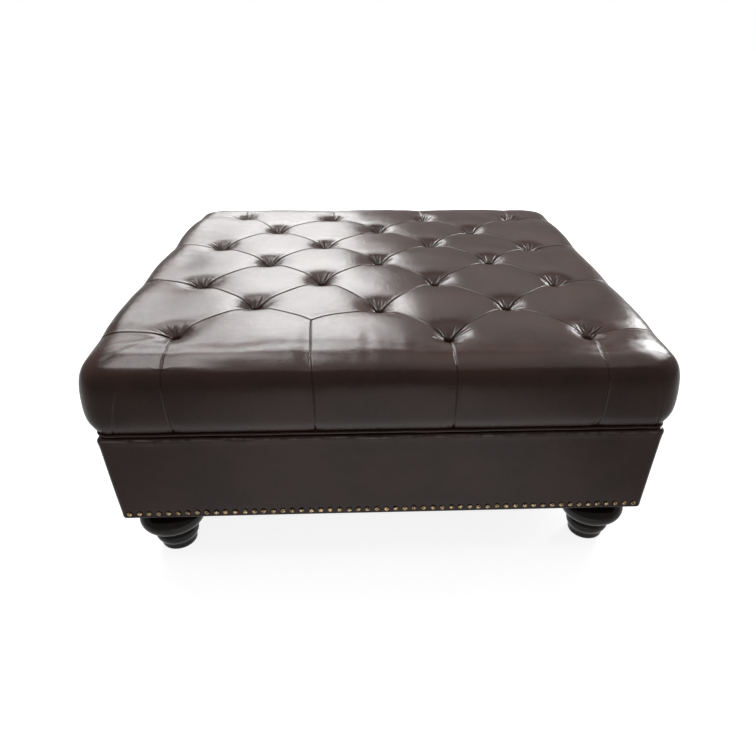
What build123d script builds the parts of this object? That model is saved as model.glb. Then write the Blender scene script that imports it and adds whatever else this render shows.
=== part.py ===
from build123d import *
import math
import os

# Tufted leather ottoman coffee table with a lift-up lid over a storage cavity.
# Millimetres. The floor is Z = 0, the front faces -Y, the hinges are at +Y, X runs left to right.

os.makedirs("parts", exist_ok=True)

# Whole object
base_width = 1016.0
foot_height = 122.0
base_height = 186.0
lid_height = 146.0
overrun = 2.0
fit_clearance = 0.05
rest_clearance = 0.3

# Base box
cover_thickness = 3.0
cover_under_thickness = 2.0
cover_under_width = 16.0
cover_inner_thickness = 1.5
cover_inner_depth = 30.0
base_corner_radius = 10.0
rim_roll_radius = 4.0
hem_radius = 3.0
wall_thickness = 25.0
bottom_thickness = 18.0
lining_thickness = 1.0
dust_cover_thickness = 0.8

# Dowels and bottom screws
dowel_radius = 4.0
dowel_wall_depth = 14.0
dowel_end_depth = 24.0
dowel_spare = 1.0
dowel_edge = 30.0
dowels_per_corner = 3
bottom_screw_length = 45.0
bottom_screw_radius = 2.2
bottom_screw_head_radius = 4.5
bottom_screw_edge = 150.0
bottom_screws_per_wall = 4

# Nailheads
nail_pitch = 18.2
nail_end_inset = 17.0
nail_head_radius = 5.25
nail_head_height = 2.8
nail_shank_radius = 0.8
nail_shank_length = 11.0
nail_rise = 11.5

# Feet
foot_inset = 69.0
foot_top_radius = 48.0
foot_collar_height = 8.0
foot_neck_radius = 41.0
foot_neck_drop = 17.0
foot_ring_radius = 65.0
foot_ring_drop = 46.0
foot_ring_half_height = 21.0
foot_ring_shoulder = 18.0
foot_waist_radius = 36.0
foot_waist_drop = 71.0
foot_lower_ring_radius = 44.0
foot_lower_ring_drop = 90.0
foot_lower_ring_bottom = 106.0
foot_toe_radius = 36.0
glide_radius = 17.0
glide_thickness = 2.5
bolt_radius = 4.0
bolt_foot_depth = 36.0
tee_nut_radius = 5.2
tee_nut_flange_radius = 11.0
tee_nut_flange_thickness = 2.0
tee_nut_short = 2.0

# Hinges
hinge_length = 80.0
hinge_leaf_thickness = 1.5
hinge_leaf_gap = 0.3
hinge_leaf_width = 24.0
hinge_knuckle_radius = 3.5
hinge_knuckle_count = 5
hinge_side_gap = 0.3
hinge_barrel_gap = 0.4
hinge_wall_gap = 0.7
hinge_pin_radius = 1.5
hinge_pin_head_radius = 2.6
hinge_pin_head = 1.0
hinge_spacing_share = 0.325
hinge_screw_pitch = 28.0
hinge_screw_radius = 1.9
hinge_screw_head_radius = 3.3
hinge_screw_length = 15.0

# Lid
lid_board_thickness = 18.0
lid_board_margin = 3.3
lid_corner_radius = 20.0
lid_tuck = 4.7
lid_under_thickness = 2.0
lid_under_width = 64.0
lid_lining_thickness = 0.8
welt_radius = 2.9
belly_overhang = 13.0
belly_corner_radius = 50.0
bumper_radius = 6.0
bumper_height = 3.0
bumper_front_inset = 60.0

# Foam and tufting
foam_height = 94.0
foam_margin = 5.0
foam_edge_radius = 15.0
foam_corner_radius = 22.0
well_radius = 38.0
well_depth = 30.0
tuft_pitch_share = 0.125
tuft_edge_steps = 3
fold_half_width = 80.0
fold_depth = 24.0
fold_bulge = 6.0
dish_radius = 80.0
dish_depth = 42.0
dish_bulge = 9.0
button_radius = 11.0
button_height = 7.0
button_seat_clearance = 0.4
button_seat_depth = 48.0
twine_radius = 1.25
twine_clearance = 0.15
twine_knot_radius = 5.0
twine_knot_height = 2.0
pleat_depth = 9.0
pleat_half_width = 15.0

# Gas struts
strut_tube_radius = 7.5
strut_bore_radius = 6.3
strut_rod_radius = 3.0
strut_piston_radius = 6.0
strut_piston_height = 4.0
strut_piston_gap = 2.0
strut_gland_height = 10.0
strut_eye_radius = 8.0
strut_eye_width = 10.0
strut_eye_lug = 12.0
strut_tube_floor = 3.0
strut_rod_show = 24.0
stud_radius = 4.0
stud_cap_radius = 6.0
stud_cap_height = 1.5
stud_cap_gap = 0.5
bracket_thickness = 2.0
bracket_length = 40.0
bracket_height = 36.0
bracket_floor_gap = 3.5
bracket_back_gap = 7.0
bracket_strut_gap = 2.5
bracket_corner_radius = 5.0
lid_bracket_width = 30.0
lid_bracket_gap = 1.5
lid_pivot_drop = 13.5
bracket_screw_pitch = 26.0
bracket_screw_radius = 2.0
bracket_screw_head_radius = 3.9
bracket_screw_length = 16.0

# Levels and faces that follow from the sizes
base_half = base_width / 2
base_bottom = foot_height
rim = base_bottom + base_height
wood_bottom = base_bottom + cover_under_thickness
wood_top = rim - cover_thickness
wood_width = base_width - 2 * cover_thickness
wood_corner_radius = base_corner_radius - cover_thickness
wall_bottom = wood_bottom + bottom_thickness
wall_height = wood_top - wall_bottom
wall_middle = (wood_width - wall_thickness) / 2
cavity_width = wood_width - 2 * wall_thickness
lining_top = wood_top - cover_inner_depth
foot_top = wood_bottom - dust_cover_thickness
foot_place = base_half - foot_inset
hinge_axis_y = base_half + hinge_wall_gap + hinge_knuckle_radius
hinge_axis_z = rim + hinge_leaf_thickness + hinge_leaf_gap / 2
hinge_spacing = hinge_spacing_share * base_width
lid_bottom = rim + 2 * hinge_leaf_thickness + hinge_leaf_gap
lid_top = lid_bottom + lid_height
lid_face_half = base_half - lid_tuck
board_bottom = lid_bottom + lid_under_thickness
board_half = lid_face_half - lid_board_margin
board_top = board_bottom + lid_board_thickness
foam_half = board_half - foam_margin
foam_top = board_top + foam_height
tuft_pitch = tuft_pitch_share * base_width
button_bottom = lid_top - button_seat_depth
strut_plane_x = (
    cavity_width / 2
    - lining_thickness
    - bracket_thickness
    - bracket_strut_gap
    - strut_tube_radius
)


def write(piece, name):
    piece.part.label = name
    export_step(piece.part, f"parts/{name}.step")


def countersunk_screw(length, radius, head_radius):
    """A screw that points down, with the flat of its head at the origin."""
    with BuildPart() as screw:
        with BuildSketch(Plane.XZ):
            with BuildLine():
                Polyline(
                    (0, 0),
                    (head_radius, 0),
                    (radius, radius - head_radius),
                    (radius, radius - length),
                    (0, -length),
                    close=True,
                )
            make_face()
        revolve(axis=Axis.Z)
    return screw.part


def straight_places(count, reach):
    """Evenly spaced places from -reach to reach."""
    return [reach * (2 * index / (count - 1) - 1) for index in range(count)]


# Tuft lattice: odd steps and even steps of the pitch make square diamonds
def tuft_places():
    steps = range(-tuft_edge_steps, tuft_edge_steps + 1)
    return [
        (tuft_pitch * i, tuft_pitch * j)
        for i in steps
        for j in steps
        if i % 2 == j % 2
    ]


# Base walls, joined at the corners by dowels in the side walls' ends
def dowel_places(depth_shift):
    """Centres and turns of the dowels, moved along Y by a share of their depths."""
    heights = straight_places(dowels_per_corner, wall_height / 2 - dowel_edge)
    return [
        Location(
            (
                side_x * wall_middle,
                side_y * (cavity_width / 2 + depth_shift),
                wall_bottom + wall_height / 2 + height,
            ),
            (90, 0, 0),
        )
        for side_x in (-1, 1)
        for side_y in (-1, 1)
        for height in heights
    ]


dowel_shift = (dowel_wall_depth - dowel_end_depth) / 2

with BuildPart() as dowel_holes:
    with Locations(*dowel_places(dowel_shift)):
        Cylinder(
            dowel_radius + fit_clearance,
            dowel_wall_depth + dowel_end_depth + 2 * dowel_spare,
        )

with BuildPart() as frame_dowels:
    with Locations(*dowel_places(dowel_shift)):
        Cylinder(dowel_radius, dowel_wall_depth + dowel_end_depth)
write(frame_dowels, "frame_dowels")


def end_wall(side):
    """The front (side -1) or back (side 1) wall, whose outer corners are rounded."""
    with BuildPart() as wall:
        with BuildSketch(Plane.XY.offset(wall_bottom)) as plan:
            with Locations((0, side * wall_middle)):
                Rectangle(wood_width, wall_thickness)
            outer = plan.vertices().group_by(Axis.Y)[-1 if side > 0 else 0]
            fillet(outer, wood_corner_radius)
        extrude(amount=wall_height)
        add(dowel_holes.part, mode=Mode.SUBTRACT)
    return wall


def side_wall(side):
    """The left (side -1) or right (side 1) wall, which fits between the other two."""
    with BuildPart() as wall:
        with BuildSketch(Plane.XY.offset(wall_bottom)):
            with Locations((side * wall_middle, 0)):
                Rectangle(wall_thickness, cavity_width)
        extrude(amount=wall_height)
        add(dowel_holes.part, mode=Mode.SUBTRACT)
    return wall


write(end_wall(-1), "base_front_wall")
write(end_wall(1), "base_back_wall")
write(side_wall(-1), "base_left_wall")
write(side_wall(1), "base_right_wall")

# Bottom panel, screwed up into the walls, with a tee nut over each foot
screw_line = straight_places(bottom_screws_per_wall, base_half - bottom_screw_edge)
bottom_screw_places = [(x, side * wall_middle) for x in screw_line for side in (-1, 1)]
bottom_screw_places += [(side * wall_middle, y) for y in screw_line for side in (-1, 1)]

with BuildPart() as bottom_panel:
    with BuildSketch(Plane.XY.offset(wood_bottom)):
        RectangleRounded(wood_width, wood_width, wood_corner_radius)
    extrude(amount=bottom_thickness)
    with BuildSketch(Plane.XY.offset(wood_bottom)):
        with GridLocations(2 * foot_place, 2 * foot_place, 2, 2):
            Circle(tee_nut_radius + fit_clearance)
    extrude(amount=bottom_thickness, mode=Mode.SUBTRACT)
    with BuildSketch(Plane.XY.offset(wall_bottom)):
        with GridLocations(2 * foot_place, 2 * foot_place, 2, 2):
            Circle(tee_nut_flange_radius + fit_clearance)
    extrude(amount=-tee_nut_flange_thickness, mode=Mode.SUBTRACT)
    with Locations(*[Location((x, y, wood_bottom), (180, 0, 0)) for x, y in bottom_screw_places]):
        CounterSinkHole(
            radius=bottom_screw_radius,
            counter_sink_radius=bottom_screw_head_radius,
            depth=bottom_thickness,
            counter_sink_angle=90,
        )
write(bottom_panel, "bottom_panel")

bottom_screw = countersunk_screw(
    bottom_screw_length, bottom_screw_radius, bottom_screw_head_radius
)
with BuildPart() as bottom_screws:
    with Locations(*[Location((x, y, wood_bottom), (180, 0, 0)) for x, y in bottom_screw_places]):
        add(bottom_screw)
write(bottom_screws, "bottom_screws")

# Leather of the base: outside, over the rim and down inside, and turned under below
mouth_width = cavity_width - 2 * cover_inner_thickness
with BuildPart() as base_cover:
    with BuildSketch(Plane.XY.offset(base_bottom)):
        RectangleRounded(base_width, base_width, base_corner_radius)
    extrude(amount=base_height)
    fillet(base_cover.edges().group_by(Axis.Z)[-1], rim_roll_radius)
    fillet(base_cover.edges().group_by(Axis.Z)[0], hem_radius)
    with BuildSketch(Plane.XY.offset(wood_bottom)):
        RectangleRounded(wood_width, wood_width, wood_corner_radius)
    extrude(amount=wood_top - wood_bottom, mode=Mode.SUBTRACT)
    with BuildSketch(Plane.XY.offset(wood_top)):
        Rectangle(mouth_width, mouth_width)
    extrude(amount=cover_thickness, mode=Mode.SUBTRACT)
    with BuildSketch(Plane.XY.offset(lining_top)):
        Rectangle(cavity_width, cavity_width)
        Rectangle(mouth_width, mouth_width, mode=Mode.SUBTRACT)
    extrude(amount=cover_inner_depth)
    rim_face = base_cover.faces().filter_by(Axis.Z).sort_by(Axis.Z)[-1]
    fillet(rim_face.inner_wires()[0].edges(), rim_roll_radius)
    with BuildSketch(Plane.XY.offset(base_bottom)):
        Rectangle(base_width - 2 * cover_under_width, base_width - 2 * cover_under_width)
    extrude(amount=cover_under_thickness, mode=Mode.SUBTRACT)
write(base_cover, "base_cover")

# Dust cover under the bottom panel, inside the turned leather
dust_cover_width = base_width - 2 * cover_under_width - 2 * rest_clearance
with BuildPart() as dust_cover:
    with BuildSketch(Plane.XY.offset(foot_top)):
        Rectangle(dust_cover_width, dust_cover_width)
        with GridLocations(2 * foot_place, 2 * foot_place, 2, 2):
            Circle(bolt_radius + fit_clearance, mode=Mode.SUBTRACT)
    extrude(amount=dust_cover_thickness)
write(dust_cover, "dust_cover")

# Lining of the storage cavity, floor and four sides
with BuildPart() as cavity_lining:
    with BuildSketch(Plane.XY.offset(wall_bottom)):
        Rectangle(cavity_width, cavity_width)
    extrude(amount=lining_top - wall_bottom)
    with BuildSketch(Plane.XY.offset(wall_bottom + lining_thickness)):
        Rectangle(cavity_width - 2 * lining_thickness, cavity_width - 2 * lining_thickness)
    extrude(amount=lining_top - wall_bottom, mode=Mode.SUBTRACT)
write(cavity_lining, "cavity_lining")

# Nailheads, one straight evenly spaced row along the bottom of each side
nail_reach = base_half - nail_end_inset
nails_per_side = round(2 * nail_reach / nail_pitch) + 1


def nail_plane(along):
    """The place of one nail of the front row, with its head facing out."""
    return Plane(origin=(along, -base_half, base_bottom + nail_rise), z_dir=(0, -1, 0))


with BuildPart() as nail:
    with BuildSketch(Plane.XZ):
        with BuildLine():
            dome_side = (
                nail_head_radius * math.sqrt(1 / 2),
                nail_head_height * math.sqrt(1 / 2),
            )
            ThreePointArc((0, nail_head_height), dome_side, (nail_head_radius, 0))
            Polyline(
                (nail_head_radius, 0),
                (nail_shank_radius, 0),
                (nail_shank_radius, nail_shank_radius - nail_shank_length),
                (0, -nail_shank_length),
                (0, nail_head_height),
            )
        make_face()
    revolve(axis=Axis.Z)

for turns, side_name in enumerate(("front", "right", "back", "left")):
    with BuildPart() as nails:
        with Locations(
            *[
                Location((0, 0, 0), (0, 0, 90 * turns)) * nail_plane(along).location
                for along in straight_places(nails_per_side, nail_reach)
            ]
        ):
            add(nail.part)
    write(nails, f"nails_{side_name}")

# Turned bun feet: collar, neck, large ring, waist, small ring and toe
toe_drop = foot_top - glide_thickness
with BuildPart() as foot:
    with BuildSketch(Plane.XZ):
        with BuildLine():
            Line((0, 0), (foot_top_radius, 0))
            Line((foot_top_radius, 0), (foot_top_radius, -foot_collar_height))
            Line((foot_top_radius, -foot_collar_height), (foot_neck_radius, -foot_neck_drop))
            ring_top = foot_ring_half_height - foot_ring_drop
            ring_foot = -foot_ring_half_height - foot_ring_drop
            ring_side = foot_ring_radius - foot_ring_shoulder
            Line((foot_neck_radius, -foot_neck_drop), (ring_side, ring_top))
            ThreePointArc(
                (ring_side, ring_top),
                (foot_ring_radius, -foot_ring_drop),
                (ring_side, ring_foot),
            )
            Line((ring_side, ring_foot), (foot_waist_radius, -foot_waist_drop))
            ThreePointArc(
                (foot_waist_radius, -foot_waist_drop),
                (foot_lower_ring_radius, -foot_lower_ring_drop),
                (foot_toe_radius, -foot_lower_ring_bottom),
            )
            Polyline(
                (foot_toe_radius, -foot_lower_ring_bottom),
                (foot_toe_radius, -toe_drop),
                (0, -toe_drop),
                (0, 0),
            )
        make_face()
    revolve(axis=Axis.Z)
    with Locations((0, 0, 0)):
        Hole(radius=bolt_radius + fit_clearance, depth=bolt_foot_depth + overrun)

for side_x, side_name in ((-1, "left"), (1, "right")):
    for side_y, end_name in ((-1, "front"), (1, "back")):
        with BuildPart() as placed_foot:
            with Locations((side_x * foot_place, side_y * foot_place, foot_top)):
                add(foot.part)
        write(placed_foot, f"foot_{end_name}_{side_name}")

with BuildPart() as foot_glides:
    with BuildSketch():
        with GridLocations(2 * foot_place, 2 * foot_place, 2, 2):
            Circle(glide_radius)
    extrude(amount=glide_thickness)
write(foot_glides, "foot_glides")

tee_nut_bottom = wood_bottom + tee_nut_short
with BuildPart() as foot_bolts:
    with BuildSketch(Plane.XY.offset(foot_top - bolt_foot_depth)):
        with GridLocations(2 * foot_place, 2 * foot_place, 2, 2):
            Circle(bolt_radius)
    extrude(amount=bolt_foot_depth + wall_bottom - foot_top)
write(foot_bolts, "foot_bolts")

with BuildPart() as foot_tee_nuts:
    with BuildSketch(Plane.XY.offset(tee_nut_bottom)):
        with GridLocations(2 * foot_place, 2 * foot_place, 2, 2):
            Circle(tee_nut_radius)
    extrude(amount=wall_bottom - tee_nut_bottom)
    with BuildSketch(Plane.XY.offset(wall_bottom)):
        with GridLocations(2 * foot_place, 2 * foot_place, 2, 2):
            Circle(tee_nut_flange_radius)
    extrude(amount=-tee_nut_flange_thickness)
    with BuildSketch(Plane.XY.offset(tee_nut_bottom)):
        with GridLocations(2 * foot_place, 2 * foot_place, 2, 2):
            Circle(bolt_radius + fit_clearance)
    extrude(amount=wall_bottom - tee_nut_bottom, mode=Mode.SUBTRACT)
write(foot_tee_nuts, "foot_tee_nuts")

# Rubber bumpers on the rim, under the lid's side and front edges
bumper_places = [
    (side * wall_middle, y) for side in (-1, 1) for y in (0, bumper_front_inset - base_half)
]
with BuildPart() as rim_bumpers:
    with BuildSketch(Plane.XY.offset(rim)):
        with Locations(*bumper_places):
            Circle(bumper_radius)
    extrude(amount=bumper_height)
write(rim_bumpers, "rim_bumpers")

# Butt hinges. Each leaf carries every second knuckle of the barrel round the pin.
hinge_places = ((-1, "left"), (0, "middle"), (1, "right"))
leaf_edge_y = hinge_axis_y - hinge_knuckle_radius - hinge_barrel_gap
leaf_screw_y = leaf_edge_y - hinge_leaf_width / 2
knuckle_pitch = hinge_length / hinge_knuckle_count
hinge_screw_steps = (-1, 0, 1)


def hinge_screw_places(level, turn):
    return [
        Location(
            (place * hinge_spacing + step * hinge_screw_pitch, leaf_screw_y, level),
            (turn, 0, 0),
        )
        for place, _ in hinge_places
        for step in hinge_screw_steps
    ]


def hinge_leaf(centre_x, first_knuckle, level, screw_places):
    """A leaf whose plate starts at a level and whose knuckles start at the first one given."""
    knuckles = [
        centre_x + knuckle_pitch * (index + 1 / 2) - hinge_length / 2
        for index in range(first_knuckle, hinge_knuckle_count, 2)
    ]
    with BuildPart() as leaf:
        with BuildSketch(Plane.XY.offset(level)):
            with Locations((centre_x, leaf_edge_y - hinge_leaf_width / 2)):
                Rectangle(hinge_length, hinge_leaf_width)
            with Locations(*[(x, (leaf_edge_y + hinge_axis_y) / 2) for x in knuckles]):
                Rectangle(knuckle_pitch - hinge_side_gap, hinge_axis_y - leaf_edge_y)
        extrude(amount=hinge_leaf_thickness)
        with Locations(
            *[Location((x, hinge_axis_y, hinge_axis_z), (0, 90, 0)) for x in knuckles]
        ):
            Cylinder(hinge_knuckle_radius, knuckle_pitch - hinge_side_gap)
        with Locations(Location((centre_x, hinge_axis_y, hinge_axis_z), (0, 90, 0))):
            Cylinder(
                hinge_pin_radius + fit_clearance,
                hinge_length + 2 * overrun,
                mode=Mode.SUBTRACT,
            )
        with Locations(*screw_places):
            CounterSinkHole(
                radius=hinge_screw_radius,
                counter_sink_radius=hinge_screw_head_radius,
                depth=hinge_leaf_thickness,
                counter_sink_angle=90,
            )
    return leaf


lower_leaf_top = rim + hinge_leaf_thickness
upper_leaf_bottom = lid_bottom - hinge_leaf_thickness
lower_screw_places = hinge_screw_places(lower_leaf_top, 0)
upper_screw_places = hinge_screw_places(upper_leaf_bottom, 180)

for number, (place, side_name) in enumerate(hinge_places):
    centre_x = place * hinge_spacing
    own = slice(number * len(hinge_screw_steps), (number + 1) * len(hinge_screw_steps))
    write(
        hinge_leaf(centre_x, 0, rim, lower_screw_places[own]),
        f"hinge_{side_name}_lower_leaf",
    )
    write(
        hinge_leaf(centre_x, 1, upper_leaf_bottom, upper_screw_places[own]),
        f"hinge_{side_name}_upper_leaf",
    )
    with BuildPart() as hinge_pin:
        with Locations(Location((centre_x, hinge_axis_y, hinge_axis_z), (0, 90, 0))):
            Cylinder(hinge_pin_radius, hinge_length)
        with Locations(
            *[
                Location(
                    (
                        centre_x + end * (hinge_length + hinge_pin_head) / 2,
                        hinge_axis_y,
                        hinge_axis_z,
                    ),
                    (0, 90, 0),
                )
                for end in (-1, 1)
            ]
        ):
            Cylinder(hinge_pin_head_radius, hinge_pin_head)
    write(hinge_pin, f"hinge_{side_name}_pin")

hinge_screw = countersunk_screw(
    hinge_screw_length, hinge_screw_radius, hinge_screw_head_radius
)
with BuildPart() as hinge_lower_screws:
    with Locations(*lower_screw_places):
        add(hinge_screw)
write(hinge_lower_screws, "hinge_lower_screws")
with BuildPart() as hinge_upper_screws:
    with Locations(*upper_screw_places):
        add(hinge_screw)
write(hinge_upper_screws, "hinge_upper_screws")

# Lid board, with a hole and a knot recess under each tuft
twine_bore = twine_radius + twine_clearance
with BuildPart() as lid_board:
    with BuildSketch(Plane.XY.offset(board_bottom)):
        RectangleRounded(2 * board_half, 2 * board_half, lid_corner_radius - lid_board_margin)
    extrude(amount=lid_board_thickness)
    with BuildSketch(Plane.XY.offset(board_bottom)):
        with Locations(*tuft_places()):
            Circle(twine_bore)
    extrude(amount=lid_board_thickness, mode=Mode.SUBTRACT)
    with BuildSketch(Plane.XY.offset(board_bottom)):
        with Locations(*tuft_places()):
            Circle(twine_knot_radius + twine_clearance)
    extrude(amount=twine_knot_height, mode=Mode.SUBTRACT)
write(lid_board, "lid_board")

lining_width = 2 * (lid_face_half - lid_under_width - rest_clearance)
with BuildPart() as lid_lining:
    with BuildSketch(Plane.XY.offset(board_bottom - lid_lining_thickness)):
        Rectangle(lining_width, lining_width)
    extrude(amount=lid_lining_thickness)
write(lid_lining, "lid_lining")


# Foam block with a well under each tuft
def foam_with_wells():
    with BuildPart() as foam:
        with BuildSketch(Plane.XY.offset(board_top)):
            RectangleRounded(2 * foam_half, 2 * foam_half, foam_corner_radius)
        extrude(amount=foam_height)
        fillet(foam.edges().group_by(Axis.Z)[-1], foam_edge_radius)
        with BuildSketch(Plane.XY.offset(foam_top - well_depth)):
            with Locations(*tuft_places()):
                Circle(well_radius)
        extrude(amount=well_depth, mode=Mode.SUBTRACT)
    return foam.part


foam_core = foam_with_wells()
with BuildPart() as foam_block:
    add(foam_core)
    with BuildSketch(Plane.XY.offset(board_top)):
        with Locations(*tuft_places()):
            Circle(twine_bore)
    extrude(amount=foam_height, mode=Mode.SUBTRACT)
write(foam_block, "foam_block")

# Side outline of the cushion: height, outset from the base's face and corner radius.
# It is tucked in at the welt, swells to a belly and rolls over into a low crown.
welt_height = 2 * welt_radius
belly_shares = (
    (0.05, -0.08, 0.48),
    (0.14, 0.46, 0.64),
    (0.24, 0.85, 0.80),
    (0.38, 1.00, 0.92),
    (0.55, 0.93, 1.00),
    (0.68, 0.74, 1.04),
    (0.78, 0.40, 1.04),
    (0.86, -0.35, 1.00),
    (0.92, -1.70, 0.92),
    (0.955, -3.60, 0.80),
    (0.98, -7.00, 0.70),
    (1.00, -13.50, 0.60),
)
cushion_profile = [
    (height * lid_height, outset * belly_overhang, corner * belly_corner_radius)
    for height, outset, corner in belly_shares
]


# Cutter for one straight fold, centred on the origin along Y with the crown at Z = 0
def fold_cutter(length):
    with BuildPart() as cutter:
        with BuildSketch(Plane.XZ):
            with BuildLine():
                middle_z = fold_bulge - fold_depth / 2
                ThreePointArc(
                    (-fold_half_width, 0),
                    (-fold_half_width / 2, middle_z),
                    (0, -fold_depth),
                )
                ThreePointArc(
                    (0, -fold_depth),
                    (fold_half_width / 2, middle_z),
                    (fold_half_width, 0),
                )
                Polyline(
                    (fold_half_width, 0),
                    (fold_half_width, overrun),
                    (-fold_half_width, overrun),
                    (-fold_half_width, 0),
                )
            make_face()
        extrude(amount=length / 2, both=True)
    return cutter.part


# Cutter for one tuft: a funnel that ends in the button's seat
with BuildPart() as dish_cutter:
    with BuildSketch(Plane.XZ):
        with BuildLine():
            seat_radius = button_radius + button_seat_clearance
            ThreePointArc(
                (seat_radius, -dish_depth),
                ((seat_radius + dish_radius) / 2, dish_bulge - dish_depth / 2),
                (dish_radius, 0),
            )
            Polyline(
                (dish_radius, 0),
                (dish_radius, overrun),
                (0, overrun),
                (0, -button_seat_depth),
                (seat_radius, -button_seat_depth),
                (seat_radius, -dish_depth),
            )
        make_face()
    revolve(axis=Axis.Z)


# Cutter for the pleat that runs from an outer tuft over the shoulder and down the side
def pleat_points(shift):
    """The cushion's outline beside X, from the crown down to the welt, moved outward."""
    outline = [
        Vector(base_half + outset, 0, lid_bottom + height)
        for height, outset, _ in reversed(cushion_profile[:-1])
    ]
    moved = []
    for index, point in enumerate(outline):
        before = outline[max(index - 1, 0)]
        after = outline[min(index + 1, len(outline) - 1)]
        run = (after - before).normalized()
        moved.append(point + Vector(-run.Z, 0, run.X) * shift)
    return moved


def pleat_section(side_y, inner_shift):
    with BuildSketch(Plane.XZ.offset(-side_y)) as section:
        with BuildLine():
            outer = pleat_points(overrun)
            inner = pleat_points(inner_shift)
            corners = [(p.X, p.Z) for p in outer + inner[::-1]]
            Polyline(*corners, close=True)
        make_face()
    return section.sketch


with BuildPart() as pleat_cutter:
    loft(
        sections=[
            pleat_section(-pleat_half_width, overrun / 2),
            pleat_section(0, -pleat_depth),
            pleat_section(pleat_half_width, overrun / 2),
        ],
        ruled=True,
    )

pleat_places = [
    Location((0, 0, 0), (0, 0, 90 * turn)) * Location((0, tuft_pitch * step, 0))
    for turn in range(4)
    for step in range(-tuft_edge_steps, tuft_edge_steps + 1, 2)
]

# Leather cover with its wadding: crowned, drawn in at the welt, folded and tufted
with BuildPart() as tufted_cover:
    with BuildSketch(Plane.XY.offset(lid_bottom)):
        RectangleRounded(2 * lid_face_half, 2 * lid_face_half, lid_corner_radius)
    with BuildSketch(Plane.XY.offset(lid_bottom + welt_height)):
        RectangleRounded(2 * lid_face_half, 2 * lid_face_half, lid_corner_radius)
    for height, outset, corner in cushion_profile:
        with BuildSketch(Plane.XY.offset(lid_bottom + height)):
            side = base_width + 2 * outset
            RectangleRounded(side, side, corner)
    loft(ruled=True)
    for step in range(1 - tuft_edge_steps, tuft_edge_steps):
        centre = tuft_pitch * step
        spans = 2 * (tuft_edge_steps - abs(step))
        cutter = fold_cutter(spans * tuft_pitch * math.sqrt(2))
        with Locations(
            Location((centre, centre, lid_top), (0, 0, 45)),
            Location((centre, -centre, lid_top), (0, 0, -45)),
        ):
            add(cutter, mode=Mode.SUBTRACT)
    with Locations(*[(x, y, lid_top) for x, y in tuft_places()]):
        add(dish_cutter.part, mode=Mode.SUBTRACT)
    with Locations(*pleat_places):
        add(pleat_cutter.part, mode=Mode.SUBTRACT)
    add(foam_core, mode=Mode.SUBTRACT)
    with BuildSketch(Plane.XY.offset(board_bottom)):
        RectangleRounded(2 * board_half, 2 * board_half, lid_corner_radius - lid_board_margin)
    extrude(amount=lid_board_thickness, mode=Mode.SUBTRACT)
    with BuildSketch(Plane.XY.offset(lid_bottom)):
        Rectangle(lining_width + 2 * rest_clearance, lining_width + 2 * rest_clearance)
    extrude(amount=lid_under_thickness, mode=Mode.SUBTRACT)
    with BuildSketch(Plane.XY.offset(board_top)):
        with Locations(*tuft_places()):
            Circle(twine_bore)
    extrude(amount=button_bottom - board_top + overrun, mode=Mode.SUBTRACT)
write(tufted_cover, "tufted_cover")

# Covered buttons at the bottom of the tufts
with BuildPart() as button:
    with BuildSketch(Plane.XZ):
        with BuildLine():
            button_rise = button_height / 2
            ThreePointArc(
                (0, button_height),
                (
                    button_radius * math.sqrt(1 / 2),
                    button_rise + button_rise * math.sqrt(1 / 2),
                ),
                (button_radius, button_rise),
            )
            Polyline(
                (button_radius, button_rise),
                (button_radius, 0),
                (0, 0),
                (0, button_height),
            )
        make_face()
    revolve(axis=Axis.Z)

with BuildPart() as tuft_buttons:
    with Locations(*[(x, y, button_bottom) for x, y in tuft_places()]):
        add(button.part)
write(tuft_buttons, "tuft_buttons")

with BuildPart() as tufting_twines:
    with BuildSketch(Plane.XY.offset(board_bottom)):
        with Locations(*tuft_places()):
            Circle(twine_radius)
    extrude(amount=button_bottom - board_bottom)
    with BuildSketch(Plane.XY.offset(board_bottom)):
        with Locations(*tuft_places()):
            Circle(twine_knot_radius)
    extrude(amount=twine_knot_height)
write(tufting_twines, "tufting_twines")

# Welt cord round the cushion's bottom edge
welt_half = lid_face_half + welt_radius
with BuildPart() as lid_welt:
    with BuildSketch(Plane.XY.offset(lid_bottom + welt_radius)) as welt_plan:
        RectangleRounded(2 * welt_half, 2 * welt_half, lid_corner_radius + welt_radius)
    welt_path = welt_plan.sketch.faces()[0].outer_wire()
    with BuildSketch(Plane(origin=welt_path @ 0, z_dir=welt_path % 0)) as welt_section:
        Circle(welt_radius)
    sweep(sections=welt_section.sketch, path=welt_path)
write(lid_welt, "lid_welt")

# Gas struts. Both pivots are equally far from the hinge axis, so a strut turns by half the
# lid's angle.
base_pivot_y = (
    cavity_width / 2 - lining_thickness - bracket_back_gap - bracket_length / 2
)
base_pivot_z = wall_bottom + lining_thickness + bracket_floor_gap + bracket_height / 2
pivot_reach = math.hypot(hinge_axis_y - base_pivot_y, hinge_axis_z - base_pivot_z)
lid_pivot_z = lid_bottom - lid_pivot_drop
lid_pivot_y = hinge_axis_y - math.sqrt(pivot_reach**2 - (hinge_axis_z - lid_pivot_z) ** 2)
strut_run = Vector(0, lid_pivot_y - base_pivot_y, lid_pivot_z - base_pivot_z)
strut_length = strut_run.length
tube_top = strut_length - strut_rod_show
piston_bottom = strut_eye_lug + strut_tube_floor + strut_piston_gap
strut_stroke = tube_top - strut_gland_height - strut_piston_height - piston_bottom
closed_angle = 2 * math.asin(strut_length / (2 * pivot_reach))
open_angle = 2 * math.asin((strut_length + strut_stroke) / (2 * pivot_reach))
print("lid opens", round(math.degrees(open_angle - closed_angle), 2), "degrees")
print("hinge axis", round(hinge_axis_y, 3), round(hinge_axis_z, 3))
print("base pivot", round(base_pivot_y, 3), round(base_pivot_z, 3))
print("lid pivot", round(lid_pivot_y, 3), round(lid_pivot_z, 3))


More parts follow.
